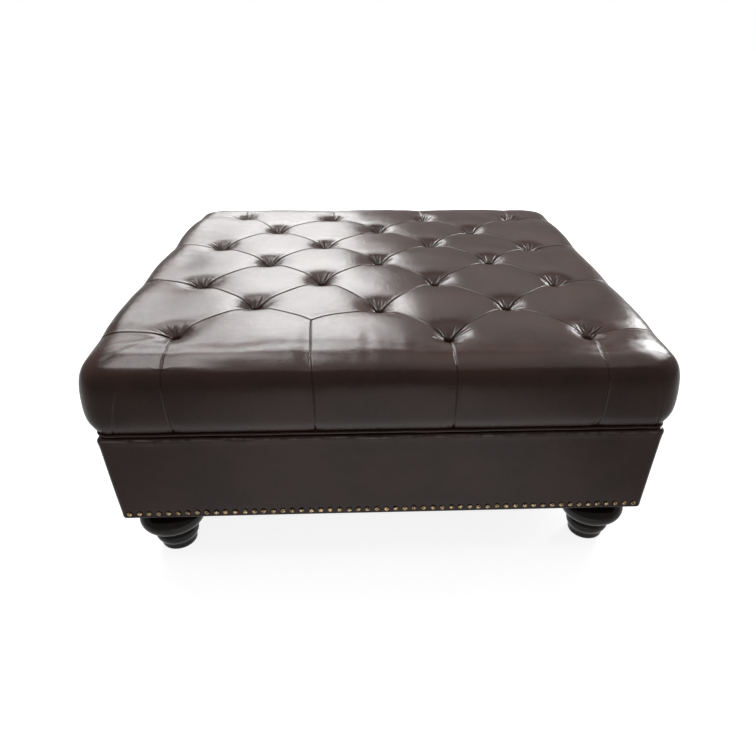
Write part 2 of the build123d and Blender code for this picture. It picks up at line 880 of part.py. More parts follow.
def strut_plane(side, travel):
    """The plane across a strut at a distance from its base pivot."""
    start = Vector(side * strut_plane_x, base_pivot_y, base_pivot_z)
    return Plane(origin=start, x_dir=(1, 0, 0), z_dir=strut_run).offset(travel)


def cross_plane(start_x, y, z):
    return Plane(origin=(start_x, y, z), x_dir=(0, 1, 0), z_dir=(1, 0, 0))


def strut_eye(side, y, z, travel):
    """An end fitting: a bored eye and the lug that joins it to the tube or rod."""
    eye_plane = cross_plane(side * strut_plane_x - strut_eye_width / 2, y, z)
    with BuildPart() as fitting:
        with BuildSketch(eye_plane):
            Circle(strut_eye_radius)
        extrude(amount=strut_eye_width)
        with BuildSketch(strut_plane(side, travel)):
            Rectangle(strut_eye_width, strut_eye_width)
        extrude(amount=strut_eye_lug)
        with BuildSketch(eye_plane):
            Circle(stud_radius + fit_clearance)
        extrude(amount=strut_eye_width, mode=Mode.SUBTRACT)
    return fitting.part


def stud(side, y, z, plate_x):
    """A pivot stud that stands on a bracket's plate and ends in a cap."""
    cap_x = strut_plane_x - strut_eye_width / 2 - stud_cap_gap
    with BuildPart() as pivot:
        with BuildSketch(cross_plane(side * plate_x, y, z)):
            Circle(stud_radius)
        extrude(amount=-side * (plate_x - cap_x))
        with BuildSketch(cross_plane(side * cap_x, y, z)):
            Circle(stud_cap_radius)
        extrude(amount=-side * stud_cap_height)
    return pivot.part


bracket_face_x = cavity_width / 2 - lining_thickness
lid_ear_x = cavity_width / 2 - cover_inner_thickness - lid_bracket_gap
bracket_screw_steps = (-1, 1)
base_screws, lid_screws = [], []
for side, side_name in ((-1, "left"), (1, "right")):
    base_eye = strut_eye(side, base_pivot_y, base_pivot_z, 0)
    with BuildPart() as tube:
        add(base_eye)
        with BuildSketch(strut_plane(side, strut_eye_lug)):
            Circle(strut_tube_radius)
        extrude(amount=tube_top - strut_eye_lug)
        with BuildSketch(strut_plane(side, strut_eye_lug + strut_tube_floor)):
            Circle(strut_bore_radius)
        extrude(amount=tube_top - strut_eye_lug - strut_tube_floor, mode=Mode.SUBTRACT)
    write(tube, f"strut_{side_name}_tube")

    with BuildPart() as gland:
        with BuildSketch(strut_plane(side, tube_top)):
            Circle(strut_bore_radius)
            Circle(strut_rod_radius + fit_clearance, mode=Mode.SUBTRACT)
        extrude(amount=-strut_gland_height)
    write(gland, f"strut_{side_name}_gland")

    lid_eye = strut_eye(side, lid_pivot_y, lid_pivot_z, strut_length - strut_eye_lug)
    with BuildPart() as rod:
        add(lid_eye)
        with BuildSketch(strut_plane(side, piston_bottom)):
            Circle(strut_rod_radius)
        extrude(amount=strut_length - strut_eye_lug - piston_bottom)
        with BuildSketch(strut_plane(side, piston_bottom)):
            Circle(strut_piston_radius)
        extrude(amount=strut_piston_height)
    write(rod, f"strut_{side_name}_rod")

    base_places = [
        Location(
            (
                side * (bracket_face_x - bracket_thickness),
                base_pivot_y + step * bracket_screw_pitch / 2,
                base_pivot_z - step * bracket_screw_pitch / 2,
            ),
            (0, -90 * side, 0),
        )
        for step in bracket_screw_steps
    ]
    base_stud = stud(side, base_pivot_y, base_pivot_z, bracket_face_x - bracket_thickness)
    with BuildPart() as base_bracket:
        with BuildSketch(cross_plane(side * bracket_face_x, base_pivot_y, base_pivot_z)):
            RectangleRounded(bracket_length, bracket_height, bracket_corner_radius)
        extrude(amount=-side * bracket_thickness)
        add(base_stud)
        with Locations(*base_places):
            CounterSinkHole(
                radius=bracket_screw_radius,
                counter_sink_radius=bracket_screw_head_radius,
                depth=bracket_thickness,
                counter_sink_angle=90,
            )
    write(base_bracket, f"strut_{side_name}_base_bracket")
    base_screws += base_places

    lid_places = [
        Location(
            (
                side * (lid_ear_x - lid_bracket_width / 2),
                lid_pivot_y + step * bracket_screw_pitch / 2,
                lid_bottom - bracket_thickness,
            ),
            (180, 0, 0),
        )
        for step in bracket_screw_steps
    ]
    lid_stud = stud(side, lid_pivot_y, lid_pivot_z, lid_ear_x - bracket_thickness)
    with BuildPart() as lid_bracket:
        with BuildSketch(Plane.XY.offset(lid_bottom)):
            with Locations((side * (lid_ear_x - lid_bracket_width / 2), lid_pivot_y)):
                Rectangle(lid_bracket_width, bracket_length)
        extrude(amount=-bracket_thickness)
        with BuildSketch(cross_plane(side * lid_ear_x, lid_pivot_y, lid_pivot_z)):
            Circle(strut_eye_radius)
            with Locations((0, lid_pivot_drop / 2)):
                Rectangle(2 * strut_eye_radius, lid_pivot_drop)
        extrude(amount=-side * bracket_thickness)
        add(lid_stud)
        with Locations(*lid_places):
            CounterSinkHole(
                radius=bracket_screw_radius,
                counter_sink_radius=bracket_screw_head_radius,
                depth=bracket_thickness,
                counter_sink_angle=90,
            )
    write(lid_bracket, f"strut_{side_name}_lid_bracket")
    lid_screws += lid_places

bracket_screw = countersunk_screw(
    bracket_screw_length, bracket_screw_radius, bracket_screw_head_radius
)
with BuildPart() as strut_base_screws:
    with Locations(*base_screws):
        add(bracket_screw)
write(strut_base_screws, "strut_base_screws")
with BuildPart() as strut_lid_screws:
    with Locations(*lid_screws):
        add(bracket_screw)
write(strut_lid_screws, "strut_lid_screws")
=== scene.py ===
import bpy, bmesh, math
import numpy as np
from mathutils import Matrix, Vector


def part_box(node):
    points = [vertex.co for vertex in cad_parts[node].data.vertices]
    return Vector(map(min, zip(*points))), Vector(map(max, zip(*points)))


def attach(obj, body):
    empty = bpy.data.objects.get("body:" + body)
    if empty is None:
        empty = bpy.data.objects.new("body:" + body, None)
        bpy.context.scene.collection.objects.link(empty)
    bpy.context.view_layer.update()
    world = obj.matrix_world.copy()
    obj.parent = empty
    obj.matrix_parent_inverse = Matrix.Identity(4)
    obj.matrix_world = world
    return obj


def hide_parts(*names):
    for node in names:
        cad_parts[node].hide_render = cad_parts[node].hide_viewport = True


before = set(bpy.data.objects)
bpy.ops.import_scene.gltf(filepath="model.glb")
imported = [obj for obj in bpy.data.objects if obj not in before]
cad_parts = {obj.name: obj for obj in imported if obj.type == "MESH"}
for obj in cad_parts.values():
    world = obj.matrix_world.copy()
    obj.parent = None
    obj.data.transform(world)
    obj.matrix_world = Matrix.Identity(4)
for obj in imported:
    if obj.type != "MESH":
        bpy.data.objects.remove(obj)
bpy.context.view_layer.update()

# Studio. A white floor in a plain room, a wall of windows of unlike brightness behind the table,
# one more window at the right, a ceiling light at the left under a pale ceiling, and a camera a
# little above and in front, as in the photograph.
photo_width, focal_length = 756, 584.36
camera_place, camera_turn, camera_drop, camera_roll = (-0.0270, -1.3603, 0.8990), -3.01, 35.81, 0.71
camera_data = bpy.data.cameras.new("camera")
camera_data.sensor_width = 36.0
camera_data.lens = camera_data.sensor_width * focal_length / photo_width
camera_data.shift_x = -18.16 / photo_width
camera_data.shift_y = 67.99 / photo_width
camera_data.clip_start = 0.05
camera = bpy.data.objects.new("camera", camera_data)
bpy.context.scene.collection.objects.link(camera)
camera.matrix_world = (
    Matrix.Translation(camera_place)
    @ Matrix.Rotation(math.radians(camera_turn), 4, "Z")
    @ Matrix.Rotation(math.radians(90 - camera_drop), 4, "X")
    @ Matrix.Rotation(math.radians(camera_roll), 4, "Z")
)
bpy.context.scene.camera = camera
bpy.context.scene.view_settings.view_transform = "Standard"


class Finish:
    """A socket in a material's nodes, on which arithmetic adds the Math nodes."""

    def __init__(self, tree, socket=None):
        self.tree, self.socket = tree, socket

    def node(self, kind, inputs=(), out=0, **settings):
        made = self.tree.nodes.new(kind)
        for name, value in settings.items():
            setattr(made, name, value)
        for key, value in dict(inputs).items():
            if isinstance(value, Finish):
                self.tree.links.new(value.socket, made.inputs[key])
            else:
                made.inputs[key].default_value = value
        return Finish(self.tree, made.outputs[out]) if made.outputs else made

    def sum(self, operation, *values):
        return self.node("ShaderNodeMath", dict(enumerate(values)), operation=operation)

    def mix(self, factor, first, second):
        return self.node(
            "ShaderNodeMix", {0: factor, 6: first, 7: second}, out=2, data_type="RGBA"
        )

    def __add__(self, other):
        return self.sum("ADD", self, other)

    def __sub__(self, other):
        return self.sum("SUBTRACT", self, other)

    def __rsub__(self, other):
        return self.sum("SUBTRACT", other, self)

    def __mul__(self, other):
        return self.sum("MULTIPLY", self, other)

    __radd__, __rmul__ = __add__, __mul__

    def also(self, output):
        """Another output of this socket's node."""
        return Finish(self.tree, self.socket.node.outputs[output])

    def between(self, low, high):
        """0 below low, 1 above high, and a smooth step between."""
        return self.node(
            "ShaderNodeMapRange", {0: self, 1: low, 2: high}, interpolation_type="SMOOTHSTEP"
        )


def new_finish(name):
    """A new material, its nodes, and the place in the piece's own space."""
    material = bpy.data.materials.new(name)
    material.use_nodes = True
    material.node_tree.nodes.clear()
    nodes = Finish(material.node_tree)
    return material, nodes, nodes.node("ShaderNodeTexCoord", out=3)


def grid(steps, size):
    """A flat square of faces that reaches this far to each side of the middle."""
    shape = bmesh.new()
    bmesh.ops.create_grid(shape, x_segments=steps, y_segments=steps, size=size)
    return shape


def pulled_out(shape, rim_edges):
    """A new row of faces along the rim: the edges that are the rim now, and their vertices."""
    spun = bmesh.ops.extrude_edge_only(shape, edges=rim_edges)["geom"]
    new_edges = [g for g in spun if isinstance(g, bmesh.types.BMEdge)]
    return new_edges, [g for g in spun if isinstance(g, bmesh.types.BMVert)]


def split_faces(shape, near):
    """Cuts the edges of the faces that are marked as near in two, and the faces with them."""
    shape.faces.ensure_lookup_table()
    chosen = {e for k in np.nonzero(near)[0] for e in shape.faces[k].edges}
    bmesh.ops.subdivide_edges(shape, edges=list(chosen), cuts=1, use_grid_fill=True)


def mesh_of(shape, name):
    """The mesh of a shape that is finished."""
    mesh = bpy.data.meshes.new(name)
    shape.to_mesh(mesh)
    shape.free()
    mesh.shade_smooth()
    return mesh


def new_piece(name, shape, material, body=None):
    """A shape or a mesh as an object of its own, which rides on its body."""
    mesh = shape if isinstance(shape, bpy.types.Mesh) else mesh_of(shape, name)
    piece = bpy.data.objects.new(name, mesh)
    bpy.context.scene.collection.objects.link(piece)
    mesh.materials.append(material)
    if body:
        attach(piece, body)
    return piece


floor_paint, paint, spot = new_finish("white_floor_paint")
rays = paint.node("ShaderNodeLightPath")
seen = rays.also("Is Camera Ray") + rays.also("Is Transmission Ray")
mirrored = rays.also("Is Glossy Ray")
away = paint.node("ShaderNodeVectorMath", {0: spot}, out=1, operation="LENGTH")
beside = paint.sum("ABSOLUTE", paint.node("ShaderNodeSeparateXYZ", {"Vector": spot}))
matt = paint.node("ShaderNodeBsdfDiffuse", {"Color": (0.4, 0.4, 0.4, 1)})
strength = seen * (0.86 + 0.14 * away.between(0.9, 2.4))
strength = strength + mirrored * (1.0 - 0.80 * beside.between(0.20, 0.70))
glow = paint.node("ShaderNodeEmission", {"Color": (1, 1, 1, 1), "Strength": strength})
both = paint.node("ShaderNodeAddShader", {0: matt, 1: glow})
paint.node("ShaderNodeOutputMaterial", {"Surface": both})
new_piece("studio_floor", grid(4, 30.0), floor_paint)

room = bpy.data.worlds.new("studio_room")
room.use_nodes = True
room.node_tree.nodes.clear()
air = Finish(room.node_tree)
room_rays = air.node("ShaderNodeLightPath")
plain = room_rays.also("Is Camera Ray") + room_rays.also("Is Transmission Ray")
sky = air.node("ShaderNodeBackground", {"Color": (1, 1, 1, 1), "Strength": 0.30 + plain * 0.70})
air.node("ShaderNodeOutputWorld", {"Surface": sky})
bpy.context.scene.world = room


def soft_lamp(name, place, width, depth, power, aim=(0, 0, 0.4)):
    lamp = bpy.data.lights.new(name, "AREA")
    lamp.shape, lamp.size, lamp.size_y, lamp.energy = "RECTANGLE", width, depth, power
    holder = bpy.data.objects.new(name, lamp)
    bpy.context.scene.collection.objects.link(holder)
    holder.visible_camera = False
    turn = (Vector(aim) - Vector(place)).to_track_quat("-Z", "Y").to_matrix().to_4x4()
    holder.matrix_world = Matrix.Translation(place) @ turn


soft_lamp("window", (-0.47, 3.43, 2.35), 1.1, 1.2, 39)
soft_lamp("window_right", (0.90, 3.34, 2.35), 1.9, 1.2, 4.5)
soft_lamp("window_left", (-1.66, 3.04, 2.40), 1.6, 1.15, 36)
soft_lamp("low_window", (-0.81, 3.83, 1.23), 1.3, 0.9, 13)
soft_lamp("side_window", (2.75, 2.31, 2.15), 0.9, 1.7, 96)
soft_lamp("ceiling_light_left", (-1.50, 1.50, 3.79), 2.1, 1.2, 66)
soft_lamp("pale_ceiling", (0.2, 0.4, 3.3), 4.4, 3.2, 44, aim=(0.2, 0.4, 0))

# Wooden box: four hardwood walls doweled at the corners, on a plywood bottom panel that is
# screwed up into them. Everything of it is covered in the finished table.
def finish_nodes(material, *names):
    """Give CAD nodes whose shape is right their real finish."""
    for name in names:
        for material_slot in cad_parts[name].material_slots:
            material_slot.material = material


def noise(place, scale, detail, **more):
    return place.node(
        "ShaderNodeTexNoise", {"Vector": place, "Scale": scale, "Detail": detail, **more}
    )


def surface(shade, rough, *reliefs, **more):
    """The finished surface, with each relief drawn as a bump over the one before."""
    inputs = {"Base Color": shade, "Roughness": rough, **more}
    for height, strength, deep in reliefs:
        bump = {"Height": height, "Strength": strength, "Distance": deep}
        if "Normal" in inputs:
            bump["Normal"] = inputs["Normal"]
        inputs["Normal"] = shade.node("ShaderNodeBump", bump)
    skin = shade.node("ShaderNodeBsdfPrincipled", inputs)
    shade.node("ShaderNodeOutputMaterial", {"Surface": skin})


def raw_wood(name, grain_scale, pale, dark, ply_layers=False):
    """Planed, unfinished wood: fibres drawn out along the grain, broad growth bands, fine pores,
    and the layers that a plywood's edge shows."""
    wood, grain, spot = new_finish(name)
    drawn_out = grain.node("ShaderNodeMapping", {"Vector": spot, "Scale": grain_scale})
    bands = noise(drawn_out, 14.0, 3.0, Distortion=0.6)
    fibres = noise(drawn_out, 160.0, 4.0)
    pores = noise(drawn_out, 420.0, 2.0)
    shade = grain.mix(bands.between(0.35, 0.68), pale, dark)
    shade = grain.mix(fibres.between(0.42, 0.72) * 0.45, shade, dark)
    shade = grain.mix(pores.between(0.62, 0.74) * 0.5, shade, (0.12, 0.075, 0.04, 1))
    if ply_layers:
        split = grain.node("ShaderNodeSeparateXYZ", {"Vector": spot}, out=2)
        layer = grain.sum("PINGPONG", split, 0.0026).between(0.0010, 0.0016)
        facing = grain.node("ShaderNodeTexCoord", out=1)
        upright = grain.node("ShaderNodeSeparateXYZ", {"Vector": facing}, out=2)
        edge = 1 - grain.sum("ABSOLUTE", upright).between(0.3, 0.7)
        shade = grain.mix(layer * edge * 0.55, shade, (0.20, 0.12, 0.062, 1))
    surface(shade, 0.62 + 0.16 * fibres, (fibres + pores, 0.25, 0.0006))
    return wood


poplar_pale, poplar_dark = (0.60, 0.47, 0.30, 1), (0.43, 0.31, 0.175, 1)
poplar_across = raw_wood("poplar_grain_left_to_right", (0.07, 1, 1), poplar_pale, poplar_dark)
poplar_deep = raw_wood("poplar_grain_front_to_back", (1, 0.07, 1), poplar_pale, poplar_dark)
plywood = raw_wood(
    "birch_plywood", (0.09, 1, 1), (0.66, 0.52, 0.34, 1), (0.50, 0.37, 0.22, 1), ply_layers=True
)
finish_nodes(poplar_across, "base_front_wall", "base_back_wall")
finish_nodes(poplar_deep, "base_left_wall", "base_right_wall", "frame_dowels")
finish_nodes(plywood, "bottom_panel")

# Steel fasteners: the bottom panel's screws, and the hanger bolts and tee nuts that hold the
# feet. All are mild steel with a thin, slightly cloudy zinc plating.
zinc_steel, plating, spot = new_finish("zinc_plated_steel")
cloud = noise(spot, 45.0, 4.0)
scuffs = noise(spot, 900.0, 2.0)
shade = plating.mix(cloud.between(0.35, 0.7), (0.56, 0.57, 0.58, 1), (0.44, 0.44, 0.42, 1))
shade = plating.mix(scuffs.between(0.6, 0.7) * 0.5, shade, (0.26, 0.25, 0.23, 1))
surface(shade, 0.24 + 0.2 * cloud, (scuffs, 0.2, 0.0002), Metallic=1.0)
finish_nodes(zinc_steel, "bottom_screws", "foot_bolts", "foot_tee_nuts")

# Leather cover of the base box, over thin wadding: pulled down smooth, rolled over the rim
# into the cavity, turned under at the hem, and pressed in where each nail goes through.
leather, hide, spot = new_finish("dark_brown_leather")
pebbles = hide.node(
    "ShaderNodeTexVoronoi", {"Vector": spot, "Scale": 620.0, "Randomness": 1.0},
    feature="SMOOTH_F1",
)
fine = noise(spot, 900.0, 3.0)
cloudy = noise(spot, 9.0, 4.0)
streaks = noise(spot, 55.0, 3.0)
painted_shade_mark = hide.node("ShaderNodeAttribute", out=2, attribute_name="fold")
rim_highlight_mark = hide.node("ShaderNodeAttribute", out=2, attribute_name="painted_rim_highlight")
brown = hide.mix(
    cloudy.between(0.35, 0.65), (0.036, 0.0160, 0.0110, 1), (0.054, 0.0240, 0.0165, 1)
)
brown = hide.mix(streaks.between(0.45, 0.75) * 0.35, brown, (0.060, 0.028, 0.019, 1))
brown = hide.mix(pebbles.between(0.0, 0.6) * 0.4, brown, (0.018, 0.009, 0.0070, 1))
# Painted shade: the colour goes near black where the piece's fold attribute is set, along the lid's
# creases and gathers and in rings round the base's nails and corner tucks.
brown = hide.mix(painted_shade_mark * 0.85, brown, (0.006, 0.0036, 0.003, 1))
# Painted highlight: a pale, streaky line of colour along the top of the base's rolled rim, where
# the piece's attribute marks it.
bright_part = rim_highlight_mark * (0.35 + 0.65 * streaks.between(0.40, 0.60))
brown = hide.mix(bright_part, brown, (0.30, 0.265, 0.25, 1))
dullness = 0.165 + 0.05 * cloudy + 0.03 * streaks + 0.10 * painted_shade_mark
grain = pebbles * 0.6 + fine * 0.4
specular = {"IOR": 1.5, "Specular IOR Level": 0.25}
surface(brown, dullness, (grain, 0.38, 0.0008), (streaks, 0.12, 0.003), **specular)

base_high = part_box("base_cover")[1]
base_half = base_high.x
corner_radius = 0.010
corner_share = 0.025
chance = np.random.default_rng(3)


def round_square(share, half, radius):
    """Points a share of the way round a square with round corners, and the way out at each.
    The share runs from 0 to 4, one for each side, and each side has half of both its corners."""
    side = np.floor(share)
    part = share - side
    start = np.clip(1 - part / corner_share, 0, 1)
    end = np.clip(1 - (1 - part) / corner_share, 0, 1)
    lean = (end - start) * math.pi / 4
    flat = np.clip((part - corner_share) / (1 - 2 * corner_share), 0, 1) * 2 - 1
    x = flat * (half - radius) + radius * np.sin(lean)
    y = -(half - radius) - radius * np.cos(lean)
    turn = side * math.pi / 2
    cos, sin = np.cos(turn), np.sin(turn)
    way_x, way_y = np.sin(lean), -np.cos(lean)
    place = np.stack([x * cos - y * sin, x * sin + y * cos], 1)
    return place, np.stack([way_x * cos - way_y * sin, way_x * sin + way_y * cos], 1)


def hill(value, middle, width):
    """1 at the middle, dying away smoothly over the width."""
    return np.exp(-(((value - middle) / width) ** 2))


def waves(share, smallest, largest, count):
    """A gentle unevenness along the outline that closes on itself, between about -1 and 1."""
    total = np.zeros(len(share))
    for _ in range(count):
        turns = chance.integers(smallest, largest)
        total += np.sin(share / 4 * 2 * math.pi * turns + chance.uniform(0, 6.3))
    return total / math.sqrt(count)


def ring_shape(columns, rows):
    """A flat strip of faces, to be laid round the outline: x is the share, y the row."""
    strip = bmesh.new()
    bmesh.ops.create_grid(strip, x_segments=columns, y_segments=rows, size=0.5)
    bmesh.ops.transform(
        strip,
        matrix=Matrix.Diagonal((4, rows, 1, 1)) @ Matrix.Translation((0.5, 0.5, 0)),
        verts=strip.verts,
    )
    return strip


def closed_ring(name, strip, place):
    """Moves the strip's vertices to their places and closes the seams."""
    mesh = mesh_of(strip, name)
    mesh.vertices.foreach_set("co", place.ravel())
    joined = bmesh.new()
    joined.from_mesh(mesh)
    bmesh.ops.remove_doubles(joined, verts=joined.verts, dist=0.00002)
    bmesh.ops.recalc_face_normals(joined, faces=joined.faces)
    joined.to_mesh(mesh)
    joined.free()
    mesh.shade_smooth()
    return mesh


# Outset from the outer face and height, in millimetres: the outside of the leather from inside
# the cavity over the rim to under the hem, and then back along its inside.
cover_section = [
    (-29.5, 275.5), (-29.5, 285), (-29.6, 294), (-29.2, 301), (-28.2, 304.6), (-26.2, 306.6),
    (-23.0, 307.3), (-18.0, 307.4), (-12.0, 307.5), (-7.0, 307.8), (-3.6, 307.4), (-1.6, 306.3),
    (-0.2, 304.6), (0.7, 302.2), (0.9, 299.6), (0.7, 297.0), (0.2, 294.2), (-0.1, 291.0),
    (-0.2, 286.0), (-0.2, 278), (-0.1, 266), (0, 250), (0.1, 232), (0.2, 214), (0.2, 196),
    (0.2, 180), (0.1, 166), (0, 156), (-0.1, 150), (-0.1, 146), (-0.1, 143), (-0.1, 140),
    (-0.1, 137), (-0.1, 134), (-0.1, 131), (-0.1, 128), (-0.2, 125.2), (-0.7, 123.2),
    (-1.8, 122.3), (-4.0, 122.0), (-8, 122.0), (-12, 122.0), (-15.8, 122.1), (-16, 123.2),
    (-15, 123.9), (-8, 123.9), (-3.2, 124), (-2.8, 140), (-2.8, 180), (-2.8, 240), (-2.8, 290),
    (-3.2, 305), (-12, 305.2), (-27.8, 305), (-28.2, 300), (-28.2, 276),
]
cover_section.append(cover_section[0])
cover_section = np.array(cover_section) / 1000
strip = ring_shape(4 * 140, len(cover_section) - 1)
end_inset, nail_count = 0.017, 55
nail_reach = base_half - end_inset
nail_gap = 2 * nail_reach / (nail_count - 1)
nail_rise = (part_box("nails_front")[0].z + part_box("nails_front")[1].z) / 2
most_drift = 0.0007
nail_drift = chance.uniform(-most_drift, most_drift, (4, nail_count, 2))


def to_nails(share, level):
    """The distance to the nearest nail of the row on the same side."""
    place, way = round_square(share, base_half, corner_radius)
    side = np.floor(share).astype(int) % 4
    turn = side * math.pi / 2
    along = place[:, 0] * np.cos(turn) + place[:, 1] * np.sin(turn)
    number = np.clip(np.round((along + nail_reach) / nail_gap), 0, nail_count - 1).astype(int)
    drift = nail_drift[side, number]
    beside = along - (number * nail_gap - nail_reach) - drift[:, 0]
    return np.hypot(beside, level - nail_rise - drift[:, 1])


# The rows of the section from the top of the rim's roll to the hem, where nails are looked for,
# and the rows that are outside at all.
nail_rows, outside_rows, rim_rows = (14, 40), (9, 42), (7, 20)
for reach in (0.0115, 0.0085):
    middles = np.array([f.calc_center_median()[:2] for f in strip.faces])
    level = np.interp(middles[:, 1], np.arange(len(cover_section)), cover_section[:, 1])
    outer = (middles[:, 1] > nail_rows[0]) & (middles[:, 1] < nail_rows[1])
    near = (to_nails(middles[:, 0], level) < reach) & outer
    split_faces(strip, near)
flat = np.array([v.co[:2] for v in strip.verts])
share, row = flat[:, 0] % 4, flat[:, 1]
outset, level = (
    np.interp(row, np.arange(len(cover_section)), cover_section[:, k]) for k in range(2)
)
outside = ((row > outside_rows[0]) & (row < outside_rows[1])).astype(float)
by_rim = hill(level, 0.302, 0.007) * ((row > rim_rows[0]) & (row < rim_rows[1]))
unevenness, rim_wrinkle = 0.00035, 0.00045
outset += outside * unevenness * waves(share + (level - 0.2) * 1.5, 3, 22, 10)
outset += by_rim * rim_wrinkle * waves(share, 20, 90, 12)
level += by_rim * rim_wrinkle * waves(share, 14, 60, 10)
from_corner = np.minimum(share % 1, 1 - share % 1)
gather = np.clip(1 - from_corner / 0.0035, 0, 1) * np.clip((level - 0.283) / 0.012, 0, 1)
corner_tuck, nail_dent, hem_puff, least_radius = 0.0012, 0.0011, 0.0005, 0.0015
outset -= outside * corner_tuck * gather
from_nail = to_nails(share, level)
outset -= outside * nail_dent * hill(from_nail, 0, 0.0074)
by_hem = hill(level, 0.1265, 0.004) * outside
outset += by_hem * hem_puff * np.clip((from_nail - 0.006) / 0.004, 0, 1)
radius = np.maximum(corner_radius + outset, least_radius)
inner, way = round_square(share, base_half + np.minimum(outset, 0), radius)
inner += way * np.maximum(outset, 0)[:, None]
# Painted shade: the leather's colour darkens in a ring round each nail and along each corner's
# tuck.
marked = hill(from_nail, 0.0058, 0.0013) * 0.9 + 0.6 * gather
shade_on = strip.verts.layers.float.new("fold")
rim_highlight_on = strip.verts.layers.float.new("painted_rim_highlight")
# Painted highlight: the thin line along the top of the rim's roll, where the leather's colour is
# made pale.
painted_rim_highlight = hill(level, 0.3034, 0.0010) * outside
for vertex, value, rim_highlight in zip(strip.verts, marked * outside, painted_rim_highlight):
    vertex[shade_on], vertex[rim_highlight_on] = float(value), float(rim_highlight)
cover_mesh = closed_ring("base_leather", strip, np.stack([inner[:, 0], inner[:, 1], level], 1))
base_leather = new_piece("base_leather", cover_mesh, leather, "base")
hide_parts("base_cover")

# Dust cover under the box: thin black non-woven cloth, cut a little inside the hem, stapled
# round its edge and slack between the staples.
dust_cloth, fleece, spot = new_finish("black_nonwoven_cloth")
fibres = noise(spot, 380.0, 5.0, Distortion=3.0)
dots = fleece.node("ShaderNodeTexVoronoi", {"Vector": spot, "Scale": 520.0, "Randomness": 0.15})
pressed = 1 - dots.between(0.10, 0.32)
shade = fleece.mix(fibres.between(0.35, 0.7), (0.012, 0.012, 0.013, 1), (0.034, 0.034, 0.036, 1))
surface(shade, 0.86 - 0.2 * pressed, (fibres - pressed * 0.6, 0.5, 0.0004))


def slack_cloth(node, thickness, steps=90, slack=0.0016, staple_gap=0.045):
    """A flat square of cloth in the node's place, slack by this much between its staples."""
    low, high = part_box(node)
    half, middle = high.x, (low.z + high.z) / 2
    cloth = grid(steps, half)
    for vertex in cloth.verts:
        x, y = vertex.co.x / half, vertex.co.y / half
        held = (1 - x**4) * (1 - y**4)
        folds = math.sin(9 * x + 4 * y) + 0.6 * math.sin(5 * x - 11 * y + 1)
        edge = max(abs(x), abs(y))
        along = (x if abs(y) > abs(x) else y) * half
        pucker = math.sin(along * 2 * math.pi / staple_gap) * math.exp(-((1 - edge) / 0.05))
        vertex.co.z = middle + slack * (held * (0.3 * folds - 0.45) + 0.12 * pucker)
    bmesh.ops.solidify(cloth, geom=cloth.faces, thickness=thickness)
    bmesh.ops.recalc_face_normals(cloth, faces=cloth.faces)
    return cloth, (2 * half, 2 * half)


dust_shape, dust_size = slack_cloth("dust_cover", thickness=0.0003)
dust_sheet = new_piece("dust_cloth", dust_shape, dust_cloth, "base")
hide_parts("dust_cover")

# Lining of the storage cavity: plain black woven cloth, glued to the floor and the four walls
# and turned under the leather of the rim.
lining_cloth, weave, spot = new_finish("black_woven_lining")
threads_x, threads_y, threads_z = (
    weave.node(
        "ShaderNodeTexWave",
        {"Vector": spot, "Scale": 330.0, "Distortion": 0.35, "Detail": 1.0},
        out=1,
        bands_direction=direction,
    )
    for direction in "XYZ"
)
slubs = noise(spot, 70.0, 4.0)
cross = threads_x * threads_y + threads_y * threads_z + threads_x * threads_z
shade = weave.mix(cross.between(0.2, 1.4), (0.009, 0.009, 0.009, 1), (0.038, 0.036, 0.034, 1))
shade = weave.mix(slubs.between(0.55, 0.75) * 0.4, shade, (0.055, 0.052, 0.048, 1))
surface(shade, 0.82 + 0.08 * slubs, (cross, 0.35, 0.0004))

lining_low, lining_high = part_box("cavity_lining")
off_wall, wall_rows, top_gap = 0.0006, 8, 0.001
lining_half = lining_high.x - off_wall
lining_rise = lining_high.z - lining_low.z
tray = grid(60, lining_half)
bmesh.ops.translate(tray, vec=(0, 0, lining_low.z + off_wall), verts=tray.verts)
rim_edges = [e for e in tray.edges if e.is_boundary]
for _ in range(wall_rows):
    rim_edges, raised = pulled_out(tray, rim_edges)
    row_rise = (lining_rise - top_gap) / wall_rows
    bmesh.ops.translate(tray, vec=(0, 0, row_rise), verts=raised)
for vertex in tray.verts:
    x, y, z = vertex.co
    inset = min(lining_half - abs(x), lining_half - abs(y))
    if inset > 0.02:
        vertex.co.z += 0.0006 + 0.0005 * math.sin(21 * x + 3) * math.sin(17 * y + 1)
    elif z > lining_low.z + 0.02:
        along = x if abs(y) > abs(x) else y
        puff = 0.0004 + 0.0004 * math.sin(34 * along + 40 * z)
        vertex.co.x -= math.copysign(puff, x) if abs(x) >= abs(y) else 0
        vertex.co.y -= math.copysign(puff, y) if abs(y) >= abs(x) else 0
bmesh.ops.solidify(tray, geom=tray.faces, thickness=0.0004)
bmesh.ops.recalc_face_normals(tray, faces=tray.faces)
cavity_cloth = new_piece("cavity_cloth", tray, lining_cloth, "base")
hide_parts("cavity_lining")
